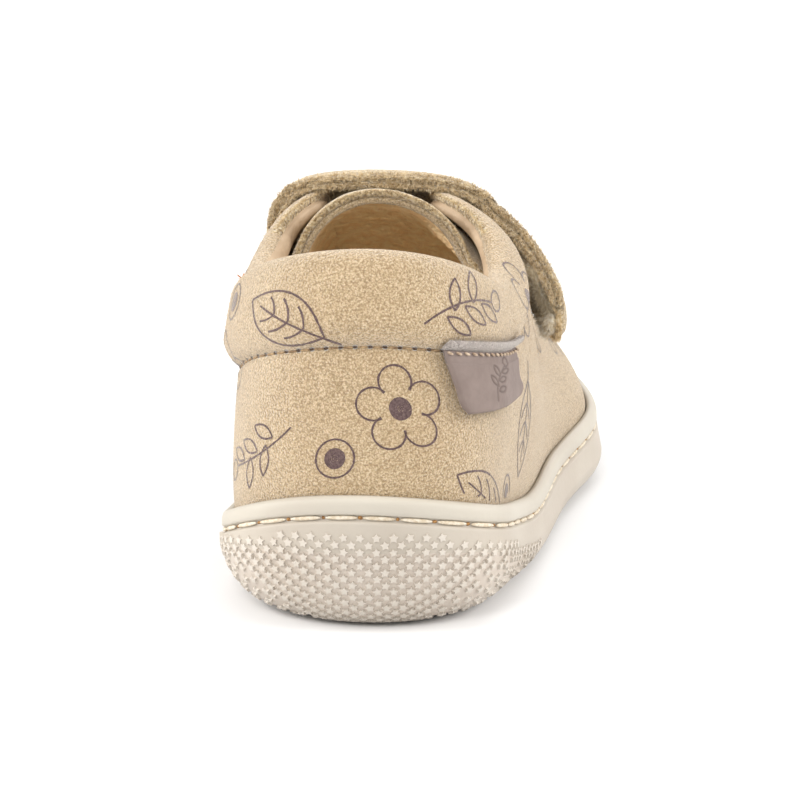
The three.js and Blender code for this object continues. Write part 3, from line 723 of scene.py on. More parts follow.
# Painted shade: dark ochre plugs sunk in the sole's groove stand for the shade inside the stitch holes.
hole_shadow = thread("sole_hole_shade", colour(170, 126, 72), colour(120, 82, 42))
tab_thread = thread("tab_thread", colour(194, 174, 150), colour(150, 126, 104))
print_ink = suede("print_ink", colour(78, 61, 61), colour(98, 79, 78), colour(118, 98, 94), grain=2700.0)
hook_tape = suede("hook_tape", colour(196, 180, 146), colour(222, 210, 182), colour(244, 238, 222),
                  grain=1500.0, depth=0.0005)
tuft_fibre = thread("tuft_fibre", colour(250, 246, 236), colour(222, 208, 176))
loose_thread = thread("loose_thread", colour(214, 142, 78), colour(178, 104, 50))
tab_leather = smooth_leather("tab_leather", colour(129, 114, 107), colour(118, 103, 96), depth=0.00012,
                             pores=2200.0, folds=260.0, roughness=0.6, pressed=colour(82, 67, 61))
tab_hem_suede = suede("tab_hem", colour(138, 128, 124), colour(166, 156, 150), colour(190, 182, 175),
                      grain=3000.0, depth=0.0004)

# Camera at the photograph's place
camera = bpy.data.objects.new("camera", bpy.data.cameras.new("camera"))
bpy.context.scene.collection.objects.link(camera)
bpy.context.scene.camera = camera
aim = Vector((0.0013542, -0.035, 0.0297))
azimuth, elevation = math.radians(5), math.radians(14)
level = math.cos(elevation)
back = Vector((math.sin(azimuth) * level, -math.cos(azimuth) * level, math.sin(elevation)))
camera.location = aim + back * 0.6
camera.rotation_mode = "QUATERNION"
camera.rotation_quaternion = (-back).to_track_quat("-Z", "Y")
camera.data.sensor_width = 36
camera.data.lens = 157.5
camera.data.clip_start = 0.05
camera.data.clip_end = 20

# Floor and light
bpy.context.scene.view_settings.view_transform = "Standard"
floor_sheet = bmesh.new()
bmesh.ops.create_grid(floor_sheet, x_segments=1, y_segments=1, size=12.0)
floor_mesh = bpy.data.meshes.new("floor")
floor_sheet.to_mesh(floor_mesh)
floor_sheet.free()
floor = bpy.data.objects.new("floor", floor_mesh)
bpy.context.scene.collection.objects.link(floor)
floor_paint, _, floor_shader = new_finish("floor_paint", Roughness=0.8, Specular_IOR_Level=0.1)
floor_shader.inputs["Base Color"].default_value = (0.79, 0.79, 0.795, 1)
floor_mesh.materials.append(floor_paint)
floor.location.z = -0.0003

world = bpy.data.worlds.new("studio")
bpy.context.scene.world = world
world.use_nodes = True
world.node_tree.nodes["Background"].inputs["Color"].default_value = (1, 1, 1, 1)
world.node_tree.nodes["Background"].inputs["Strength"].default_value = 0.62


def soft_light(name, place, size, power, tint=(1, 1, 1)):
    lamp = bpy.data.lights.new(name, "AREA")
    lamp.shape = "SQUARE"
    lamp.size = size
    lamp.energy = power
    lamp.color = tint
    holder = bpy.data.objects.new(name, lamp)
    bpy.context.scene.collection.objects.link(holder)
    holder.location = place
    holder.rotation_mode = "QUATERNION"
    holder.rotation_quaternion = (Vector((0, -0.02, 0.03)) - Vector(place)).to_track_quat("-Z", "Y")


soft_light("left_light", (-0.95, -0.25, 0.55), 0.7, 11.0, (1, 0.99, 0.975))
soft_light("right_light", (0.95, -0.1, 0.55), 0.7, 10.1, (1, 0.99, 0.975))
soft_light("back_light", (-0.25, -0.95, 0.85), 0.4, 5.4, (1, 0.985, 0.96))
soft_light("front_light", (0.3, 0.95, 0.7), 0.6, 4.0)
soft_light("top_light", (0.0, -0.02, 1.2), 0.8, 2.3)

# Sole
around = 288
ring_t = np.linspace(0, 1, around + 1)


def tread_zone(t, height):
    """1 round the heel and the forefoot, 0 along the waist."""
    y = side_y(t) / shoe_length
    heel = 1 - ramp(y - 0.02 * height, 0.265, 0.285)
    toe = ramp(y + 0.03 * height, 0.76, 0.78)
    return np.maximum(heel, toe)


def tread_share(t, height):
    """1 where the sole has its star tread, 0 on its smooth walls."""
    return tread_zone(t, height) * (1 - ramp(height, 0.78, 0.99))


def sole_under(share, t):
    edge = set_in(t, tuck_at(t), 0.0)
    place = mix(middle_line(edge, 0.16, 0.78), edge, share)
    place[..., 2] = floor_rise(place[..., 1]) + tread_sunk
    return place


def sole_bend(angle, t, sunk=None):
    """The rounding from the floor, at angle 0, up to the sole's widest line, at angle 1."""
    turn = np.asarray(angle * np.ones_like(t)) * math.pi / 2

    def bare(turn):
        place = set_in(t, tuck_at(t) * (1 - np.sin(turn)), 0.0)
        rise = floor_rise(place[..., 1])
        place[..., 2] = rise + (swell_at(t) - rise) * (1 - np.cos(turn))
        return place

    place = bare(turn)
    height = 1 - np.cos(turn)
    facing = unit(outward_at(t) * np.sin(turn)[..., None] * swell_at(t)[..., None]
                  - np.array([0, 0, 1.0]) * (np.cos(turn) * tuck_at(t))[..., None])
    if sunk is None:
        sunk = tread_sunk * np.maximum(tread_share(t, height), 1 - ramp(height, 0.0, 0.06))
    return place - facing * np.asarray(sunk)[..., None], facing


def sole_wall(drop, flare, depth, t):
    return set_in(t, flare_at(t) * flare + depth, rim_z(t) - drop)


wall_profile = [
    (4.9, 0.74, 0.0), (4.5, 0.78, 0.0), (4.2, 0.8, 0.02), (4.05, 0.82, 0.14), (3.95, 0.86, 0.38),
    (3.8, 0.9, 0.58), (3.4, 0.95, 0.62), (3.05, 0.97, 0.58), (2.9, 1, 0.38), (2.78, 1, 0.12), (2.6, 1, 0.0),
    (2.0, 1, 0.0), (1.4, 1, 0.03), (0.95, 1, 0.1), (0.55, 1, 0.24), (0.25, 1, 0.5), (0.08, 1, 0.85),
    (0.0, 1, 1.25), (0.0, 1, 1.9),
]


def dress_outsole():
    rings = [sole_under(share, ring_t) for share in (0.3, 0.5, 0.7, 0.88, 0.97)]
    rings += [sole_bend(angle, ring_t)[0] for angle in np.linspace(0, 1, 34)]
    high = rings[-1]
    first = sole_wall(*wall_profile[0], ring_t)
    rings += [mix(high, first, share) for share in (0.25, 0.5, 0.75)]
    rings += [sole_wall(*step, ring_t) for step in wall_profile]
    for share in (0, 0.33, 0.66, 1):
        turn = share * math.pi / 2
        inset = upper_inset(ring_t) - clearance + turned_radius * (1 - math.cos(turn))
        place = set_in(ring_t, inset, 0.0)
        place[..., 2] = floor_rise(place[..., 1]) + sole_thickness + turned_radius * (1 - math.sin(turn))
        rings.append(place)
    edge = set_in(ring_t, upper_inset(ring_t) - clearance + turned_radius, 0.0)
    for share in (0.8, 0.55, 0.3):
        place = mix(middle_line(edge, 0.2, 0.76), edge, share)
        place[..., 2] = floor_rise(place[..., 1]) + sole_thickness
        rings.append(place)
    finishes = np.zeros((len(rings), len(ring_t)), int)
    # Below the groove the rubber carries painted shade; the tread and the middle of the underside take the
    # ground with painted shade.
    finishes[:49] = 2
    for k, angle in enumerate(np.linspace(0, 1, 34)):
        height = 1 - math.cos(angle * math.pi / 2)
        finishes[5 + k, tread_share(ring_t, height) > 0.5] = 1
    finishes[:7] = 1
    sheet = close_ends(lay_rows(rings, finishes))
    finished("sole", sheet, [sole_rubber, tread_ground_shaded, sole_band_rubber_shaded], ["outsole"])


def star_seed():
    """One five-pointed star, 1 across and 1 high, its sides drawn in towards the top."""
    star = bmesh.new()
    bmesh.ops.create_circle(star, cap_ends=True, segments=10, radius=0.5)
    star.verts.ensure_lookup_table()
    for vert in star.verts:
        angle = math.atan2(vert.co.x, vert.co.y)
        if round(angle / (math.pi / 5)) % 2:
            vert.co *= 0.56
    lifted = bmesh.ops.extrude_face_region(star, geom=star.faces[:])
    for item in lifted["geom"]:
        if isinstance(item, bmesh.types.BMVert):
            item.co = Vector((item.co.x * 0.84, item.co.y * 0.84, 1.0))
    bottoms = [f for f in star.faces if all(abs(v.co.z) < 1e-6 for v in f.verts)]
    bmesh.ops.delete(star, geom=bottoms, context="FACES_ONLY")
    bmesh.ops.recalc_face_normals(star, faces=star.faces)
    return star


def spaced(places, apart):
    """Keeps each place that stands clear of those kept before it."""
    kept = []
    for i, place in enumerate(places):
        if not kept or np.min(np.sum((places[kept] - place) ** 2, axis=1)) > apart**2:
            kept.append(i)
    return kept


def dress_tread():
    fine_t = np.linspace(-0.5, 0.5, 2881)
    angles = np.linspace(1, 0, 90)
    bend = [sole_bend(a, fine_t, np.zeros_like(fine_t)) for a in angles]
    high = bend[0][0]
    wall = sole_wall(*wall_profile[0], fine_t)
    above = [mix(high, wall, share) for share in (0.6, 0.3)]
    sheet = np.stack(above + [place for place, _ in bend])
    facings_down = np.stack([bend[0][1]] * 2 + [facing for _, facing in bend])
    heights = np.concatenate([[1, 1], 1 - np.cos(angles * math.pi / 2)])
    run_down = np.cumsum(np.linalg.norm(np.diff(sheet, axis=0), axis=-1), axis=0)
    run_down = np.concatenate([np.zeros((1, len(fine_t))), run_down]) - run_down[1]
    places, facings, proud = [], [], []
    for row, depth in enumerate(np.arange(-star_row, run_down[-1].max(), star_row)):
        level = np.array([np.interp(depth, run_down[:, i], np.arange(len(sheet)), left=-1, right=-1)
                          for i in range(len(fine_t))])
        first = np.clip(np.floor(level).astype(int), 0, len(sheet) - 2)
        part = (np.clip(level, 0, len(sheet) - 1) - first)[:, None]
        column = np.arange(len(fine_t))
        line = mix(sheet[first, column], sheet[first + 1, column], part)
        out = unit(mix(facings_down[first, column], facings_down[first + 1, column], part))
        height = np.interp(level, np.arange(len(sheet)), heights)
        reach = ramp(-depth, -0.6, 1.2)
        low_enough = (reach < 0.02) | (np.abs(fine_t) < 0.13 - 0.06 * reach)
        shown = (tread_zone(fine_t, height) > 0.3) & (level >= 0) & low_enough
        steps = run_along(line)
        for middle_t, half in ((0.0, 0.33), (0.5, 0.17), (-0.5, 0.17)):
            wanted = np.arange(-60, 61) * star_pitch + (row % 2) * star_pitch / 2
            wanted = wanted + np.interp(middle_t, fine_t, steps)
            at = np.interp(wanted, steps, fine_t, left=9, right=9)
            at = at[(np.abs(at - middle_t) < half) & (np.abs(at) <= 0.5)]
            nearest = np.clip(np.round((at + 0.5) * 2880).astype(int), 0, 2880)
            nearest = nearest[shown[nearest]]
            places.append(line[nearest] - out[nearest] * star_height)
            facings.append(out[nearest])
            proud.append(0.05 + 0.15 * ramp(height[nearest], 0.6, 0.95))
    outline = set_in(np.linspace(0, 1, 361)[:-1], tuck_at(np.linspace(0, 1, 361)[:-1]) + 0.6, 0.0)[:, :2]
    flat = []
    for k, y in enumerate(np.arange(4, shoe_length, star_row)):
        smooth_waist = 0.33 * shoe_length < y < 0.5 * shoe_length
        if smooth_waist:
            continue
        for x in np.arange(-40, 42, star_pitch) + (k % 2) * star_pitch / 2:
            edges = outline[:, 1] > y
            crossing = edges != np.roll(edges, 1)
            ax, ay = outline[crossing, 0], outline[crossing, 1]
            bx, by = np.roll(outline, 1, 0)[crossing, 0], np.roll(outline, 1, 0)[crossing, 1]
            cut = ax + (y - ay) * (bx - ax) / (by - ay)
            if np.sum(cut > x) % 2:
                flat.append([x, y, floor_rise(y) + star_height])
    places.append(np.array(flat))
    facings.append(np.tile([0, 0, -1.0], (len(flat), 1)))
    proud.append(np.full(len(flat), -0.02))
    places, facings, proud = np.concatenate(places), np.concatenate(facings), np.concatenate(proud)
    kept = spaced(places, 1.4)
    places, facings, proud = places[kept], facings[kept], proud[kept]
    up = np.where(np.abs(facings[:, 2:]) > 0.97, [0, -1.0, 0], [0, 0, 1.0])
    along = np.cross(up, facings)
    along = along + 0.18 * rng.standard_normal(along.shape)
    width = star_width * (1 + 0.04 * rng.standard_normal(len(places)))
    sizes = np.stack([width, width, star_height + proud], -1)
    strew("sole_stars", star_seed(), places, along, facings, sizes, star_rubber_lit, lowest=0.0)


def capsule_seed(rings=6, sides=8):
    """A lens-shaped stitch, 1 long and 1 thick."""
    grown = bmesh.new()
    bmesh.ops.create_uvsphere(grown, u_segments=sides, v_segments=rings, radius=0.5)
    for vert in grown.verts:
        vert.co = Vector((vert.co.z, vert.co.y, vert.co.x))
        vert.co.x = math.copysign(abs(vert.co.x * 2) ** 0.8 / 2, vert.co.x)
    bmesh.ops.recalc_face_normals(grown, faces=grown.faces)
    return grown


def even_places(curve, pitch):
    """Places round the shoe at an even pitch along a closed curve, and the curve's length."""
    t = np.linspace(0, 1, 1441)
    steps = run_along(curve(t))
    count = round(steps[-1] / pitch)
    wanted = (np.arange(count) + 0.5) * steps[-1] / count
    return np.interp(wanted, steps, t), steps[-1] / count


def dress_sole_stitches():
    def groove(t, depth=groove_depth - 0.05):
        return sole_wall(groove_drop, 0.95, depth, t)
    at, pitch = even_places(groove, sole_stitch_pitch)
    along = groove(at + 1e-3) - groove(at - 1e-3)
    strew("sole_stitches", capsule_seed(8, 8), groove(at, groove_depth - 0.15), along, outward_at(at),
          (pitch * 0.88, 0.74, 0.7), sole_thread, smooth=True)
    # Dark plugs between the stitches: painted shade of the holes.
    hole_t = at + 0.5 * pitch * 2e-3 / length_of(along)[:, 0]
    long, wide = rng.uniform(0.55, 0.95, len(at)), rng.uniform(0.45, 0.7, len(at))
    sizes = np.stack([long, wide, np.full(len(at), 0.3)], -1)
    strew("sole_stitch_hole_shade", capsule_seed(6, 8), groove(hole_t), along, outward_at(hole_t), sizes,
          hole_shadow, smooth=True)


# Upper

def tucked_place(t, share, side):
    wall = 0.0 if side > 0 else upper_wall
    radius = turned_radius if side > 0 else turned_radius - upper_wall * 0.6
    turn = min(share / 0.5, 1) * math.pi / 2
    place = set_in(t, upper_inset(t) + wall + radius * (1 - math.sin(turn)), 0.0)
    low = floor_rise(place[..., 1]) + sole_thickness + clearance
    turned = low + radius * (1 - math.cos(turn))
    place[..., 2] = mix(turned, rim_z(t), np.clip(share / 0.5 - 1, 0, 1))
    return place


def dress_upper():
    t = np.linspace(0, 1, 385)
    band = band_at(t)
    seam_share = share_below_top(t, band)
    seam_run = run_along(skin(t, seam_share))
    seam_run = seam_run / seam_run[-1] * round(seam_run[-1] / needle_pitch) * needle_pitch
    full_drop = np.array([run_along(skin(p, np.linspace(0, 1, 60)))[-1] for p in t])
    rows, seams = [], []
    far_from_seam = 30.0

    def add(places, above_seam):
        rows.append(places)
        seams.append(np.stack([seam_run, above_seam + 0 * band], -1))

    for share in (0, 0.15, 0.3, 0.5, 0.8):
        add(tucked_place(t, share, 1), -(full_drop - band) - 9 + 8 * share)
    for share in np.concatenate([np.linspace(0, 0.93, 32), np.linspace(0.94, 1.0, 7)]):
        below = mix(full_drop, band, share)
        add(suede_place(t, below), band - below)
    edge = across_at(t, 1.0)
    for share in np.concatenate([np.linspace(0, 0.22, 9)[1:], np.linspace(0.28, 1.0, 12)]):
        below = band * (1 - edge * share)
        add(suede_place(t, below), band - below)
    closings = (0.98, 0.93, 0.86, 0.77, 0.66, 0.54, 0.42, 0.31, 0.21, 0.12, 0.05)
    split = cut_edge(t)
    into = unit(skin(t, 0.97) - skin(t, 1.0))
    body = len(rows)
    for side, order in ((1, closings), (0, (0.0,)), (-1, closings[::-1])):
        for closing in order:
            below = band * (1 - across_at(t, closing))
            place = suede_place(t, below) if side >= 0 else lining_place(t, below)
            dip = split * 0.6 * np.exp(-((closing * 1.6 / 0.34) ** 2))
            add(place + into * dip[:, None], band - below)
    crest = body + len(closings)
    for share in np.linspace(1, 0, 14):
        add(lining_place(t, band * (1 - edge * share)), far_from_seam)
    for share in np.linspace(1, 0, 16)[1:]:
        add(lining_place(t, mix(full_drop, band, share)), far_from_seam)
    for share in (0.8, 0.5, 0.3, 0):
        add(tucked_place(t, share, -1), far_from_seam)
    rows.append(rows[0])
    seams.append(seams[0])
    finishes = np.zeros((len(rows), len(t)), int)
    finishes[crest + 12:] = 1
    cut = split > 0.5
    finishes[body + 3:crest, cut] = 2
    shows_lining = ramp(t, 0.125, 0.15) * (1 - ramp(t, 0.86, 0.875))
    pale_strip = np.exp(-(((t - 0.165) / 0.022) ** 2)) + np.exp(-(((t - 0.838) / 0.02) ** 2))
    starts = crest + np.round(12 * (1 - shows_lining) - 4 * pale_strip).astype(int)
    for column, start in enumerate(starts):
        if shows_lining[column] > 0.02:
            finishes[start:crest + 22, column] = 3
    sheet = lay_rows(rows, finishes, np.array(seams))
    bmesh.ops.recalc_face_normals(sheet, faces=sheet.faces)
    kinds = [printed_suede, collar_lining, raw_edge, flap_lining_shaded]
    finished("shoe_upper", sheet, kinds, ["upper"])
    return rows[body + 5]


def fray_facings(edge_row):
    """Hairs along the cut edge of the facings."""
    t = np.linspace(0, 1, len(edge_row))
    cut = np.flatnonzero(cut_edge(t) > 0.5)
    roots = along_line(edge_row[cut], 2400)
    fringe("facing_fray", roots, [0, -0.25, 1.0], 0.55, 0.08)


def raise_nap():
    """Short hairs of the nap, which soften the suede's outline."""
    count = 15000
    t = rng.uniform(0, 1, count)
    low = band_at(t) + 26
    below = rng.uniform(0.3, 1.0, count) * low * rng.uniform(0.02, 1, count)
    s = share_below_top(t, below)
    shown = s > 0.02
    t, below, s = t[shown], below[shown], s[shown]
    roots = suede_place(t, below, -0.05)
    facing = skin_facing(t, s)
    crest = below < 1.2
    facing[crest] = unit(facing[crest] + np.array([0, 0, 0.8]))
    fringe("suede_nap", roots, facing, 0.3, 0.06, nap_fibre)


# Line motifs printed on the suede, in millimetres: leaf, flower and sprig
def arc(x, y, radius, start, end, squash=1.0):
    angle = np.radians(np.linspace(start, end, max(6, int(abs(end - start) / 14))))
    return np.stack([x + radius * np.cos(angle), y + radius * squash * np.sin(angle)], -1)


def bowed(x0, y0, x1, y1, bow):
    u = np.linspace(0, 1, 12)
    across = np.array([-(y1 - y0), x1 - x0])
    line = np.stack([mix(x0, x1, u), mix(y0, y1, u)], -1)
    return line + (4 * u * (1 - u))[:, None] * across * bow


leaf_motif = [
    bowed(0, -8, 0, 8, 0.27), bowed(0, -8, 0, 8, -0.27), bowed(0, -11, 0, 5.4, 0.02),
    bowed(0, -4.2, 2.9, -1.6, -0.1), bowed(0, -4.2, -2.9, -1.6, 0.1), bowed(0, -1.2, 3.0, 1.5, -0.1),
    bowed(0, -1.2, -3.0, 1.5, 0.1), bowed(0, 1.8, 2.2, 4.0, -0.1), bowed(0, 1.8, -2.2, 4.0, 0.1),
]
flower_motif = [arc(0, 0, radius, 0, 360) for radius in np.arange(0.15, 1.7, 0.24)] + [
    arc(4.1 * math.cos(a), 4.1 * math.sin(a), 2.5, math.degrees(a) - 128, math.degrees(a) + 128)
    for a in np.radians(np.arange(5) * 72 + 90)
]
sprig_motif = [bowed(-1.5, -8.5, 1.2, 6.5, 0.1)] + [
    part
    for side, x, y in ((1, -0.9, -4.6), (-1, -1.2, -2.8), (1, -1.0, -0.6), (-1, -0.8, 1.4), (1, 0.1, 3.2))
    for part in (bowed(x, y, x + side * 4.2, y + 2.8, 0.2), bowed(x, y, x + side * 4.2, y + 2.8, -0.2))
] + [arc(1.6, 8.2, 1.6, 0, 360, 1.2)]
ring_motif = [arc(0, 0, 2.7, 0, 360)] + [arc(0, 0, radius, 0, 360) for radius in np.arange(0.15, 1.4, 0.24)]

# Each motif: place round the shoe, millimetres below the opening, turn in degrees, size
print_layout = [
    (leaf_motif, 0.955, 10.5, 62, 0.80), (sprig_motif, 0.062, 8.0, -58, 0.85),
    (flower_motif, 0.022, 25.5, 12, 0.92), (ring_motif, 0.985, 34.0, 0, 1.0),
    (sprig_motif, 0.93, 31.0, 118, 0.86), (leaf_motif, 0.082, 37.5, 70, 0.80),
    (flower_motif, 0.885, 16.0, 40, 0.86), (ring_motif, 0.905, 6.0, 0, 0.9),
    (leaf_motif, 0.870, 33.0, 20, 0.84), (flower_motif, 0.168, 8.0, -20, 0.80),
    (leaf_motif, 0.150, 27.0, 160, 0.86), (sprig_motif, 0.212, 24.0, 25, 0.86),
    (ring_motif, 0.118, 36.0, 0, 1.0), (ring_motif, 0.115, 19.0, 0, 0.7),
    (flower_motif, 0.262, 33.0, 5, 0.84), (leaf_motif, 0.300, 17.0, -35, 0.84),
    (sprig_motif, 0.345, 30.0, 130, 0.86), (ring_motif, 0.372, 14.0, 0, 1.0),
    (flower_motif, 0.405, 26.0, 30, 0.86), (leaf_motif, 0.441, 17.5, 112, 0.80),
    (sprig_motif, 0.492, 31.0, 75, 0.86), (flower_motif, 0.528, 15.0, 10, 0.76),
    (leaf_motif, 0.560, 28.0, 40, 0.84), (ring_motif, 0.590, 13.0, 0, 1.0),
    (sprig_motif, 0.628, 26.0, -50, 0.86), (flower_motif, 0.675, 17.0, 22, 0.84),
    (leaf_motif, 0.712, 33.0, 95, 0.84), (ring_motif, 0.742, 16.0, 0, 0.9),
    (sprig_motif, 0.785, 27.0, 10, 0.86), (flower_motif, 0.832, 8.0, 0, 0.72),
    (ring_motif, 0.820, 40.0, 0, 0.8), (leaf_motif, 0.690, 6.5, 60, 0.55), (ring_motif, 0.255, 9.0, 0, 0.7),
]


def print_motifs():
    inked = bmesh.new()
    for motif, place, below, turn, size in print_layout:
        s = share_below_top(np.array([place]), np.array([below]))[0]
        pace = float(length_of(skin(place + 1e-3, s) - skin(place - 1e-3, s))[0]) / 2e-3
        c, sn = math.cos(math.radians(turn)), math.sin(math.radians(turn))
        deepest = run_along(skin(place, np.linspace(0, 1, 60)))[-1]
        for stroke in motif:
            stroke = stroke * size * 1.18
            lengths = run_along(stroke)
            count = max(4, int(lengths[-1] / 0.45))
            even = np.linspace(0, lengths[-1], count)
            x = np.interp(even, lengths, stroke[:, 0])
            y = np.interp(even, lengths, stroke[:, 1])
            turned = np.stack([x * c - y * sn, x * sn + y * c], -1)
            ahead = np.gradient(turned, axis=0)
            across = np.stack([-ahead[:, 1], ahead[:, 0]], -1)
            across = across / np.linalg.norm(across, axis=-1, keepdims=True)
            width = ink_half_width * (1 + 0.12 * rng.standard_normal(count))
            edges = []
            for side in (1.0, -1.0):
                flat = turned + across * (side * width)[:, None]
                edges.append((place + flat[:, 0] / pace, below - flat[:, 1]))
            deep = np.maximum(edges[0][1], edges[1][1])
            shown = (deep < deepest - 0.6) & (np.minimum(edges[0][1], edges[1][1]) > 0.8)
            runs = np.flatnonzero(shown)
            longest = max(np.split(runs, np.flatnonzero(np.diff(runs) > 1) + 1), key=len)
            if len(longest) < 3:
                continue
            edges = [(t[longest], b[longest]) for t, b in edges]
            rows = [on_frame(suede_place(t, b, ink_proud)) for t, b in edges]
            wide = len(rows[0])
            strip = bmesh.ops.create_grid(inked, x_segments=wide - 1, y_segments=1, size=1)["verts"]
            for vert in strip:
                row = 1 if vert.co.y > 0 else 0
                vert.co = Vector(rows[row][round((vert.co.x + 1) / 2 * (wide - 1))])
    finished("printed_lines", inked, [print_ink])


def dress_collar_stitches():
    def seam(t, push=-0.30):
        return suede_place(t, band_at(t) + 0.05, push + 0.34)
    t = np.linspace(0, 1, 1441)
    steps = run_along(seam(t))
    count = round(steps[-1] / needle_pitch)
    wanted = np.arange(count) * steps[-1] / count
    at = np.interp(wanted, steps, t)
    along = seam(at + 1e-3) - seam(at - 1e-3)
    facing = skin_facing(at, share_below_top(at, band_at(at)))
    strew("collar_stitches", capsule_seed(8, 6), seam(at, -0.28), along, facing, (1.75, 0.42, 0.42),
          seam_thread, smooth=True)


# Insole

def dress_insole():
    inset = upper_inset(ring_t) + upper_wall + turned_radius - upper_wall * 0.6 + clearance
    rings = []

    def level(extra, lift, share):
        edge = set_in(ring_t, inset + extra, 0.0)
        place = mix(middle_line(edge, 0.22, 0.74), edge, share)
        place[..., 2] = floor_rise(place[..., 1]) + sole_thickness + clearance + lift
        rings.append(place)

    level(0.6, 0, 0.4)
    level(0.6, 0, 1)
    for turn in np.linspace(0, math.pi / 2, 4):
        level(0.6 - 0.6 * math.sin(turn), 0.6 - 0.6 * math.cos(turn), 1)
    for turn in np.linspace(0, math.pi / 2, 5):
        level(0.8 - 0.8 * math.cos(turn), insole_thickness - 0.8 + 0.8 * math.sin(turn), 1)
    for share in (0.8, 0.6, 0.4):
        level(0.8, insole_thickness, share)
    finished("footbed", close_ends(lay_rows(rings)), [footbed_leather], ["insole"])


# Tongue

def place_at_length(y, s, side):
    low = np.full(np.shape(y), 0.1 if side > 0 else 0.9)
    high = np.full(np.shape(y), 0.5)
    for _ in range(26):
        middle = (low + high) / 2
        short = skin(middle, s)[..., 1] < y
        low = np.where(short, middle, low)
        high = np.where(short, high, middle)
    return (low + high) / 2


tongue_shape = [through(tongue_rows[:, 0], tongue_rows[:, k]) for k in range(1, 6)]


def bridge(start, leave, end, arrive, u):
    u = np.asarray(u)[:, None]
    rest = 1 - u
    low = start * (1 + 2 * u) * rest * rest + leave * u * rest * rest
    return low + end * u * u * (3 - 2 * u) - arrive * u * u * rest


def tongue_line(along, depth):
    """One row across the tongue at a share of the shoe's length, a depth below its outer face."""
    outer, inner, edge, rise, dome = (float(shape(np.array(along))) for shape in tongue_shape)
    edge = min(edge, 1.0)
    at_back = float(1 - ramp(along, 0.36, 0.42))
    lowered = 0.18 * float(1 - ramp(along, 0.5, 0.68))
    outer, inner, dome = outer - lowered, inner - lowered, dome + 0.16 * at_back

    def climb(side, low):
        share = mix(low, edge, np.linspace(0, 1, 12))
        t = place_at_length(np.full(12, along * shoe_length), share, side)
        under = upper_wall + collar_pad_inside * np.sqrt(pad_at(t)) + clearance * 2 + depth
        if side > 0:
            under = under + 1.3 * at_back * ramp(share, outer, 0.9)
        return skin(t, share) - skin_facing(t, share) * under[:, None]

    left = climb(1, outer)
    right = climb(-1, inner)[::-1]
    start, end = left[-1], right[0]
    gap = np.linalg.norm(end - start)
    across = (end - start) / gap * math.cos(math.radians(rise))
    steep = np.array([0, 0, 1.0]) * math.sin(math.radians(rise))
    leave, arrive = (across + steep) * gap * dome, (across - steep) * gap * dome
    over = bridge(start, leave, end, arrive, np.linspace(0, 1, 44)[1:-1])
    return np.concatenate([left, over, right])


def dress_tongue():
    first, last_row = tongue_rows[0, 0], tongue_rows[-1, 0]
    outer_layer = 1.25
    length = shoe_length
    profile = [(a, 0.0, 0) for a in np.linspace(last_row, first + 3 / length, 38)]
    profile += [(first + (2 / length), 0.0, 0), (first + 1.2 / length, 0.0, 0)]
    profile += [
        (first + (0.62 - 0.62 * math.sin(turn)) / length, 0.62 - 0.62 * math.cos(turn), 1)
        for turn in np.linspace(0.15, math.pi - 0.35, 8)
    ]
    profile += [(first + 0.75 / length, outer_layer + 0.02, 2)]
    profile += [
        (first + (0.85 - 0.55 * math.sin(turn)) / length, outer_layer + 0.58 - 0.55 * math.cos(turn), 2)
        for turn in np.linspace(0.4, math.pi - 0.1, 7)
    ]
    profile += [(first + d / length, tongue_thickness, 2) for d in (1.3, 1.7, 2.0)]
    profile += [
        (first + forward / length, tongue_thickness - groove, kind)
        for forward, groove, kind in ((2.2, 0.12, 4), (2.35, 0.3, 4), (2.55, 0.12, 3), (2.8, 0.0, 3))
    ]
    profile += [(a, tongue_thickness, 3) for a in np.linspace(first + 3.4 / length, last_row, 40)]
    rows = np.array([tongue_line(a, d) for a, d, _ in profile])
    finishes = [kind for _, _, kind in profile]
    for k, (a, _, kind) in enumerate(profile):
        facing = unit(np.cross(np.gradient(rows[k], axis=0), [0, 1.0, 0]))
        u = np.linspace(0, 1, rows.shape[1])
        ripple = 0.10 * np.sin(u * 61 + a * 190) + 0.16 * np.sin(u * 23 - a * 120 + 1.3)
        strength = ramp(a * length, first * length + 3, first * length + 9) if kind == 3 else 0.25
        rows[k] = rows[k] + facing * (ripple * strength)[:, None]
    closed = np.concatenate([rows, rows[:1]])
    finishes = finishes + [3]
    sheet = lay_rows(closed, finishes)
    sheet = close_ends(sheet)
    kinds = [plain_suede, raw_edge, plain_suede, tongue_lining, tongue_seam]
    finished("tongue_dressed", sheet, kinds, ["tongue"])
    roots = along_line(rows[42], 1800)
    fringe("tongue_fray", roots, [0, -1.0, 0.35], 0.55, 0.08)
    roots = along_line(rows[52], 500)
    fringe("tongue_lining_fray", roots, [0, -1.0, -0.1], 0.25, 0.07)


# Strap

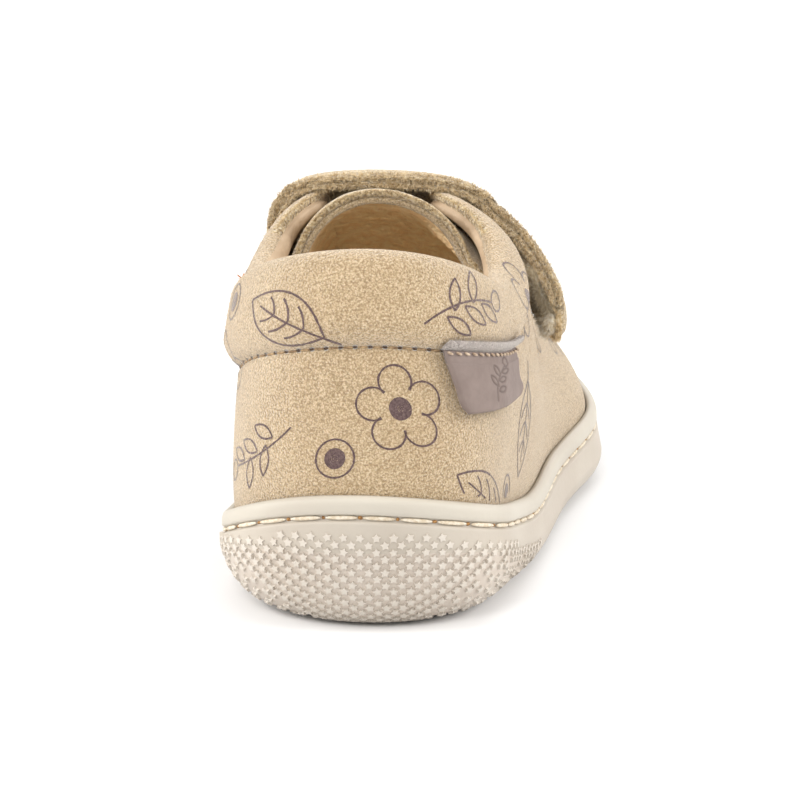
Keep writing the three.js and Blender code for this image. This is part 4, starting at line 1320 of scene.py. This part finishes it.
def strap_line(w, stand):
    """One line along the strap, a share w of its width forward, stand millimetres off the lowest face."""
    y = strap_back + strap_width * w

    def on(side, share, lift):
        share = np.asarray(share)
        if side > 0:
            share = np.where(share < 0.5, share + (0.5 - share) * abs(2 * w - 1) ** 3, share)
        t = place_at_length(np.full(len(share), y), share, side)
        curl = strap_lift * lift * mix(1.25, 0.55, w)
        below = length_of(skin(t, share) - skin(t, 1.0))[:, 0]
        padding = wall_offsets(t, np.minimum(0.5, 1 - below / band_at(t)))[0]
        thinned = np.ones(len(share))
        if side > 0:
            run = np.linalg.norm(skin(t, share) - skin(t[-1:], share[-1:]), axis=-1)
            thinned = 0.3 + 0.7 * np.sqrt(np.clip(1 - (1 - np.clip(run / 4.0, 0, 1)) ** 2, 0, 1))
        rise = padding + clearance + curl + np.where(stand > 0, stand * thinned, stand)
        return skin(t, share) + skin_facing(t, share) * rise[:, None]

    inner_share = np.linspace(0.46, 0.9, 26)
    outer_share = np.linspace(0.9, 0.36, 44)
    inner_lift = np.maximum(0, through(strap_inner[:, 0], strap_inner[:, 1])(inner_share))
    outer_lift = through(strap_outer[::-1, 0], strap_outer[::-1, 1])(outer_share)
    inner_line = on(-1, inner_share, inner_lift)
    outer_line = on(1, outer_share, outer_lift)
    start, end = inner_line[-1], outer_line[0]
    gap = np.linalg.norm(end - start)
    leave = unit(start - inner_line[-5]) * gap * strap_arch
    arrive = unit(outer_line[5] - end) * gap * strap_arch
    over = bridge(start, leave, end, arrive, np.linspace(0, 1, 22)[1:-1])
    return np.concatenate([inner_line, over, outer_line])


def dress_strap(name, low, thickness, node, seed):
    layer = np.random.default_rng(seed)
    half = thickness / 2
    round_share = half / strap_width
    lows = [mix(round_share, 1 - round_share, u) for u in np.linspace(0, 1, 15)]
    profile = [(w, low) for w in lows]
    profile += [
        (1 - round_share + round_share * math.sin(a), low + half - half * math.cos(a))
        for a in np.linspace(0.5, 2.64, 5)
    ]
    profile += [(w, low + thickness) for w in lows[::-1]]
    profile += [
        (round_share - round_share * math.sin(a), low + half + half * math.cos(a))
        for a in np.linspace(0.5, 2.64, 5)
    ]
    rows = np.array([strap_line(w, d) for w, d in profile])
    frayed = rows + 0.0
    for k in (15, 16, 17, 18, 19, 35, 36, 37, 38, 39):
        side = 1 if k < 20 else -1
        frayed[k] = frayed[k] + 0.16 * layer.standard_normal((rows.shape[1], 3))
        frayed[k, :, 1] += side * 0.12 * np.abs(layer.standard_normal(rows.shape[1]))
    closed = np.concatenate([frayed, frayed[:1]])
    finishes = [2] * 14 + [1] * 6 + [0] * 14 + [1] * 7
    sheet = lay_rows(closed, finishes)
    sheet = close_ends(sheet)
    finished(name, sheet, [strap_suede, raw_edge, strap_suede], [node])
    return rows


def fibre_seed():
    """A short tapering hair, 1 long."""
    hair = bmesh.new()
    bmesh.ops.create_cone(hair, cap_ends=False, segments=3, radius1=0.5, radius2=0.06, depth=1.0)
    for vert in hair.verts:
        height = vert.co.z + 0.5
        vert.co = Vector((vert.co.x, vert.co.y, height))
    return hair


def fringe(name, roots, directions, length, width, finish=None):
    """Loose hairs of the raw suede, standing out from a cut edge."""
    count = len(roots)
    wild = np.asarray(directions) + 0.55 * rng.standard_normal((count, 3))
    aside = np.cross(wild, rng.standard_normal((count, 3)))
    tall = length * np.clip(1 + 0.45 * rng.standard_normal(count), 0.3, 2.2)
    sizes = np.stack([np.full(count, width), np.full(count, width), tall], -1)
    return strew(name, fibre_seed(), roots, aside, wild, sizes, finish or edge_fibre)


def along_line(line, count):
    steps = run_along(line)
    wanted = np.sort(rng.uniform(0, steps[-1], count))
    return np.stack([np.interp(wanted, steps, line[:, k]) for k in range(3)], -1)


def dress_straps():
    under = dress_strap("strap_backing_dressed", 0.0, strap_backing, "strap_backing", 5)
    over = dress_strap("strap_dressed", strap_backing + clearance, strap_leather, "strap", 6)
    for name, rows, slot in (("strap_backing_fray", under, "strap_backing"), ("strap_fray", over, "strap")):
        roots, directions = [], []
        for k, lean_y, lift in ((34, -0.6, 1), (35, -1, 0.6), (36, -1, 0.3), (37, -1, 0), (38, -1, -0.3),
                                (39, -1, -0.6), (15, 1, 0.3), (17, 1, 0), (19, 1, -0.3)):
            line = rows[k % len(rows)]
            spots = along_line(line, 800 if lean_y < 0 else 380)
            roots.append(spots)
            directions.append(np.tile([0, lean_y, lift], (len(spots), 1)))
        for column, sign in ((-1, 1), (0, -1)):
            end = rows[:, column]
            spots = along_line(end, 900)
            tip = unit((rows[:, -1] - rows[:, -4]).mean(0) if sign > 0 else (rows[:, 0] - rows[:, 3]).mean(0))
            roots.append(spots)
            directions.append(np.tile(tip, (len(spots), 1)))
        roots, directions = np.concatenate(roots), np.concatenate(directions)
        fringe(name, roots, directions, 0.72, 0.1)
    tape = []
    for w in np.linspace(0.08, 0.9, 12):
        tape.append(strap_line(w, 0.1)[-21:-1])
    for w, stand in ((0.92, -0.2), (0.93, -0.6), (0.91, -1.0)):
        tape.append(strap_line(w, stand)[-21:-1])
    for w in np.linspace(0.88, 0.1, 12):
        tape.append(strap_line(w, -1.25)[-21:-1])
    for w, stand in ((0.07, -1.0), (0.05, -0.6), (0.06, -0.2)):
        tape.append(strap_line(w, stand)[-21:-1])
    tape.append(tape[0])
    finished("hook_patch", close_ends(lay_rows(tape)), [hook_tape])
    roots = np.concatenate([along_line(line, 150) for line in tape[13:30]])
    outward = unit(tape[20][10] - tape[5][10]) - np.array([0, 0.4, 0])
    fringe("hook_patch_pile", roots, outward, 0.6, 0.1, hook_tape)
    roots = np.concatenate([along_line(line[3:], 330) for line in tape[25:30]])
    fringe("hook_patch_edge", roots, [-0.3, -1.0, -0.2], 0.75, 0.12, hook_tape)
    roots = np.concatenate([along_line(line[-6:], 90) for line in tape[20:30]])
    fringe("hook_patch_tuft", roots, [-0.3, -0.8, -0.9], 1.1, 0.1, tuft_fibre)


# Tab

def tab_place(w, v, stand):
    """A point of the tab: w across it, v from its hem's top at -1 to its lower edge at 1."""
    start = through(tab_levels[:, 0], tab_levels[:, 1])(v)
    end = through(tab_levels[:, 0], tab_levels[:, 2])(v)
    t = mix(start, end, w) / len(sections)
    below = np.where(v < 0, v * tab_hem, v * tab_hang * mix(1, tab_slant, w))
    padding = np.where(v < 0, 0, collar_pad * 0.25)
    across = -below / band_at(t)
    s = share_below_top(t, band_at(t) + below)
    outer, _ = wall_offsets(t, across)
    return skin(t, s) + skin_facing(t, s) * (outer + clearance + padding + stand)[..., None]


def dress_tab():
    columns, lines = 141, 104
    w = np.linspace(0, 1, columns)
    v = np.concatenate([np.linspace(-1, 0, 14)[:-1], np.linspace(0, 1, lines - 13)])
    grid_w, grid_v = np.meshgrid(w, v)
    to_side = np.minimum(grid_w, 1 - grid_w) * 15
    edge = np.minimum(to_side, np.minimum(grid_v + 1, 1 - grid_v) * np.where(grid_v < 0, 1.8, 9))
    rounding = np.sqrt(np.clip(1 - (1 - np.clip(edge / 0.55, 0, 1)) ** 2, 0, 1))
    roll = 0.42 * np.exp(-(((grid_v + 0.5) / 0.42) ** 2))
    trough = -0.30 * np.exp(-((grid_v * tab_hem / 0.38) ** 2)) * (grid_v < 0.2)
    strokes = np.concatenate([stroke for stroke in sprig_motif]) * 0.42
    turn = math.radians(-24)
    strokes = strokes @ np.array([[math.cos(turn), math.sin(turn)], [-math.sin(turn), math.cos(turn)]])
    flat = np.stack([grid_w * 15 - 7.6, (1 - grid_v) * 9 - 4.6], -1).reshape(-1, 1, 2)
    joined = np.linalg.norm(np.diff(strokes, axis=0), axis=1) < 0.9
    fine = np.concatenate([mix(strokes[:-1], strokes[1:], u)[joined] for u in (0, 0.33, 0.66)])
    near = np.min(np.linalg.norm(flat - fine[None], axis=-1), axis=1).reshape(grid_w.shape)
    line = np.exp(-((near / 0.17) ** 2)) * (grid_v > 0)
    border = -0.16 * line
    sag = 0.12 * np.sin(grid_w * 5 + 0.4) * ramp(grid_v, 0.1, 1)
    face = tab_place(grid_w, grid_v, tab_thickness * (0.35 + 0.65 * rounding) + roll + trough + border + sag)
    under = tab_place(grid_w, grid_v, tab_thickness * 0.35 * (1 - rounding))
    rows = np.concatenate([face, under[::-1]])
    finishes = [1 if value < -0.12 else 0 for value in v] + [0] * len(v)
    rows = np.concatenate([rows, rows[:1]])
    pressed = np.concatenate([line * 0.75, 0 * line, 0 * line[:1]])
    sheet = close_ends(lay_rows(rows, finishes + [1], pressed=pressed))
    finished("seam_tab", sheet, [tab_leather, tab_hem_suede], ["heel_tab"])
    count = 15
    at = (np.arange(count) + 0.5) / count
    here = tab_place(at, np.full(count, 0.03), tab_thickness + 0.02)
    there = tab_place(at + 0.01, np.full(count, 0.03), tab_thickness + 0.02)
    below = tab_place(at, np.full(count, 0.12), tab_thickness + 0.02)
    along = unit(there - here)
    facing = unit(np.cross(below - here, along))
    facing = facing * np.sign(facing @ np.array([0.3, -1, 0.1]))[:, None]
    slanted = along - 0.35 * unit(here - below)
    strew("tab_stitches", capsule_seed(8, 6), here, slanted, facing, (1.2, 0.46, 0.5), tab_thread,
          smooth=True)
    roots = tab_place(rng.uniform(0, 1, 500), rng.uniform(-1.0, -0.75, 500), tab_thickness * 0.8)
    middle = np.full(500, 0.5)
    up = tab_place(middle, np.full(500, -0.9), 1.0) - tab_place(middle, np.full(500, -0.5), 1.0)
    fringe("tab_fray", roots, unit(up), 0.4, 0.06, tab_hem_suede)


def dress_thread_ends():
    """Loose ends of thread where the inner facing's stitching starts."""
    ends = bmesh.new()
    at = place_at_length(np.array([38.5, 40.5]), np.array([0.93, 0.9]), -1)
    for t, below, height in ((at[0], 2.2, 1.6), (at[1], 3.4, 1.3)):
        root = suede_place(np.array([t]), np.array([below]), 0.1)[0]
        for _ in range(3):
            reach = rng.standard_normal(3) * 0.5 + np.array([-0.2, -0.6, 0.5])
            bits = bmesh.ops.create_uvsphere(ends, u_segments=6, v_segments=5, radius=0.00028)["verts"]
            for vert in bits:
                along = vert.co.z / 0.00028
                vert.co = Vector(on_frame(root + reach * (along + 1) * height * 0.3)) + vert.co * 0.7
    finished("thread_ends", ends, [loose_thread])


dress_outsole()
dress_tread()
dress_sole_stitches()
fray_facings(dress_upper())
raise_nap()
print_motifs()
dress_collar_stitches()
dress_insole()
dress_tongue()
dress_straps()
dress_tab()
dress_thread_ends()
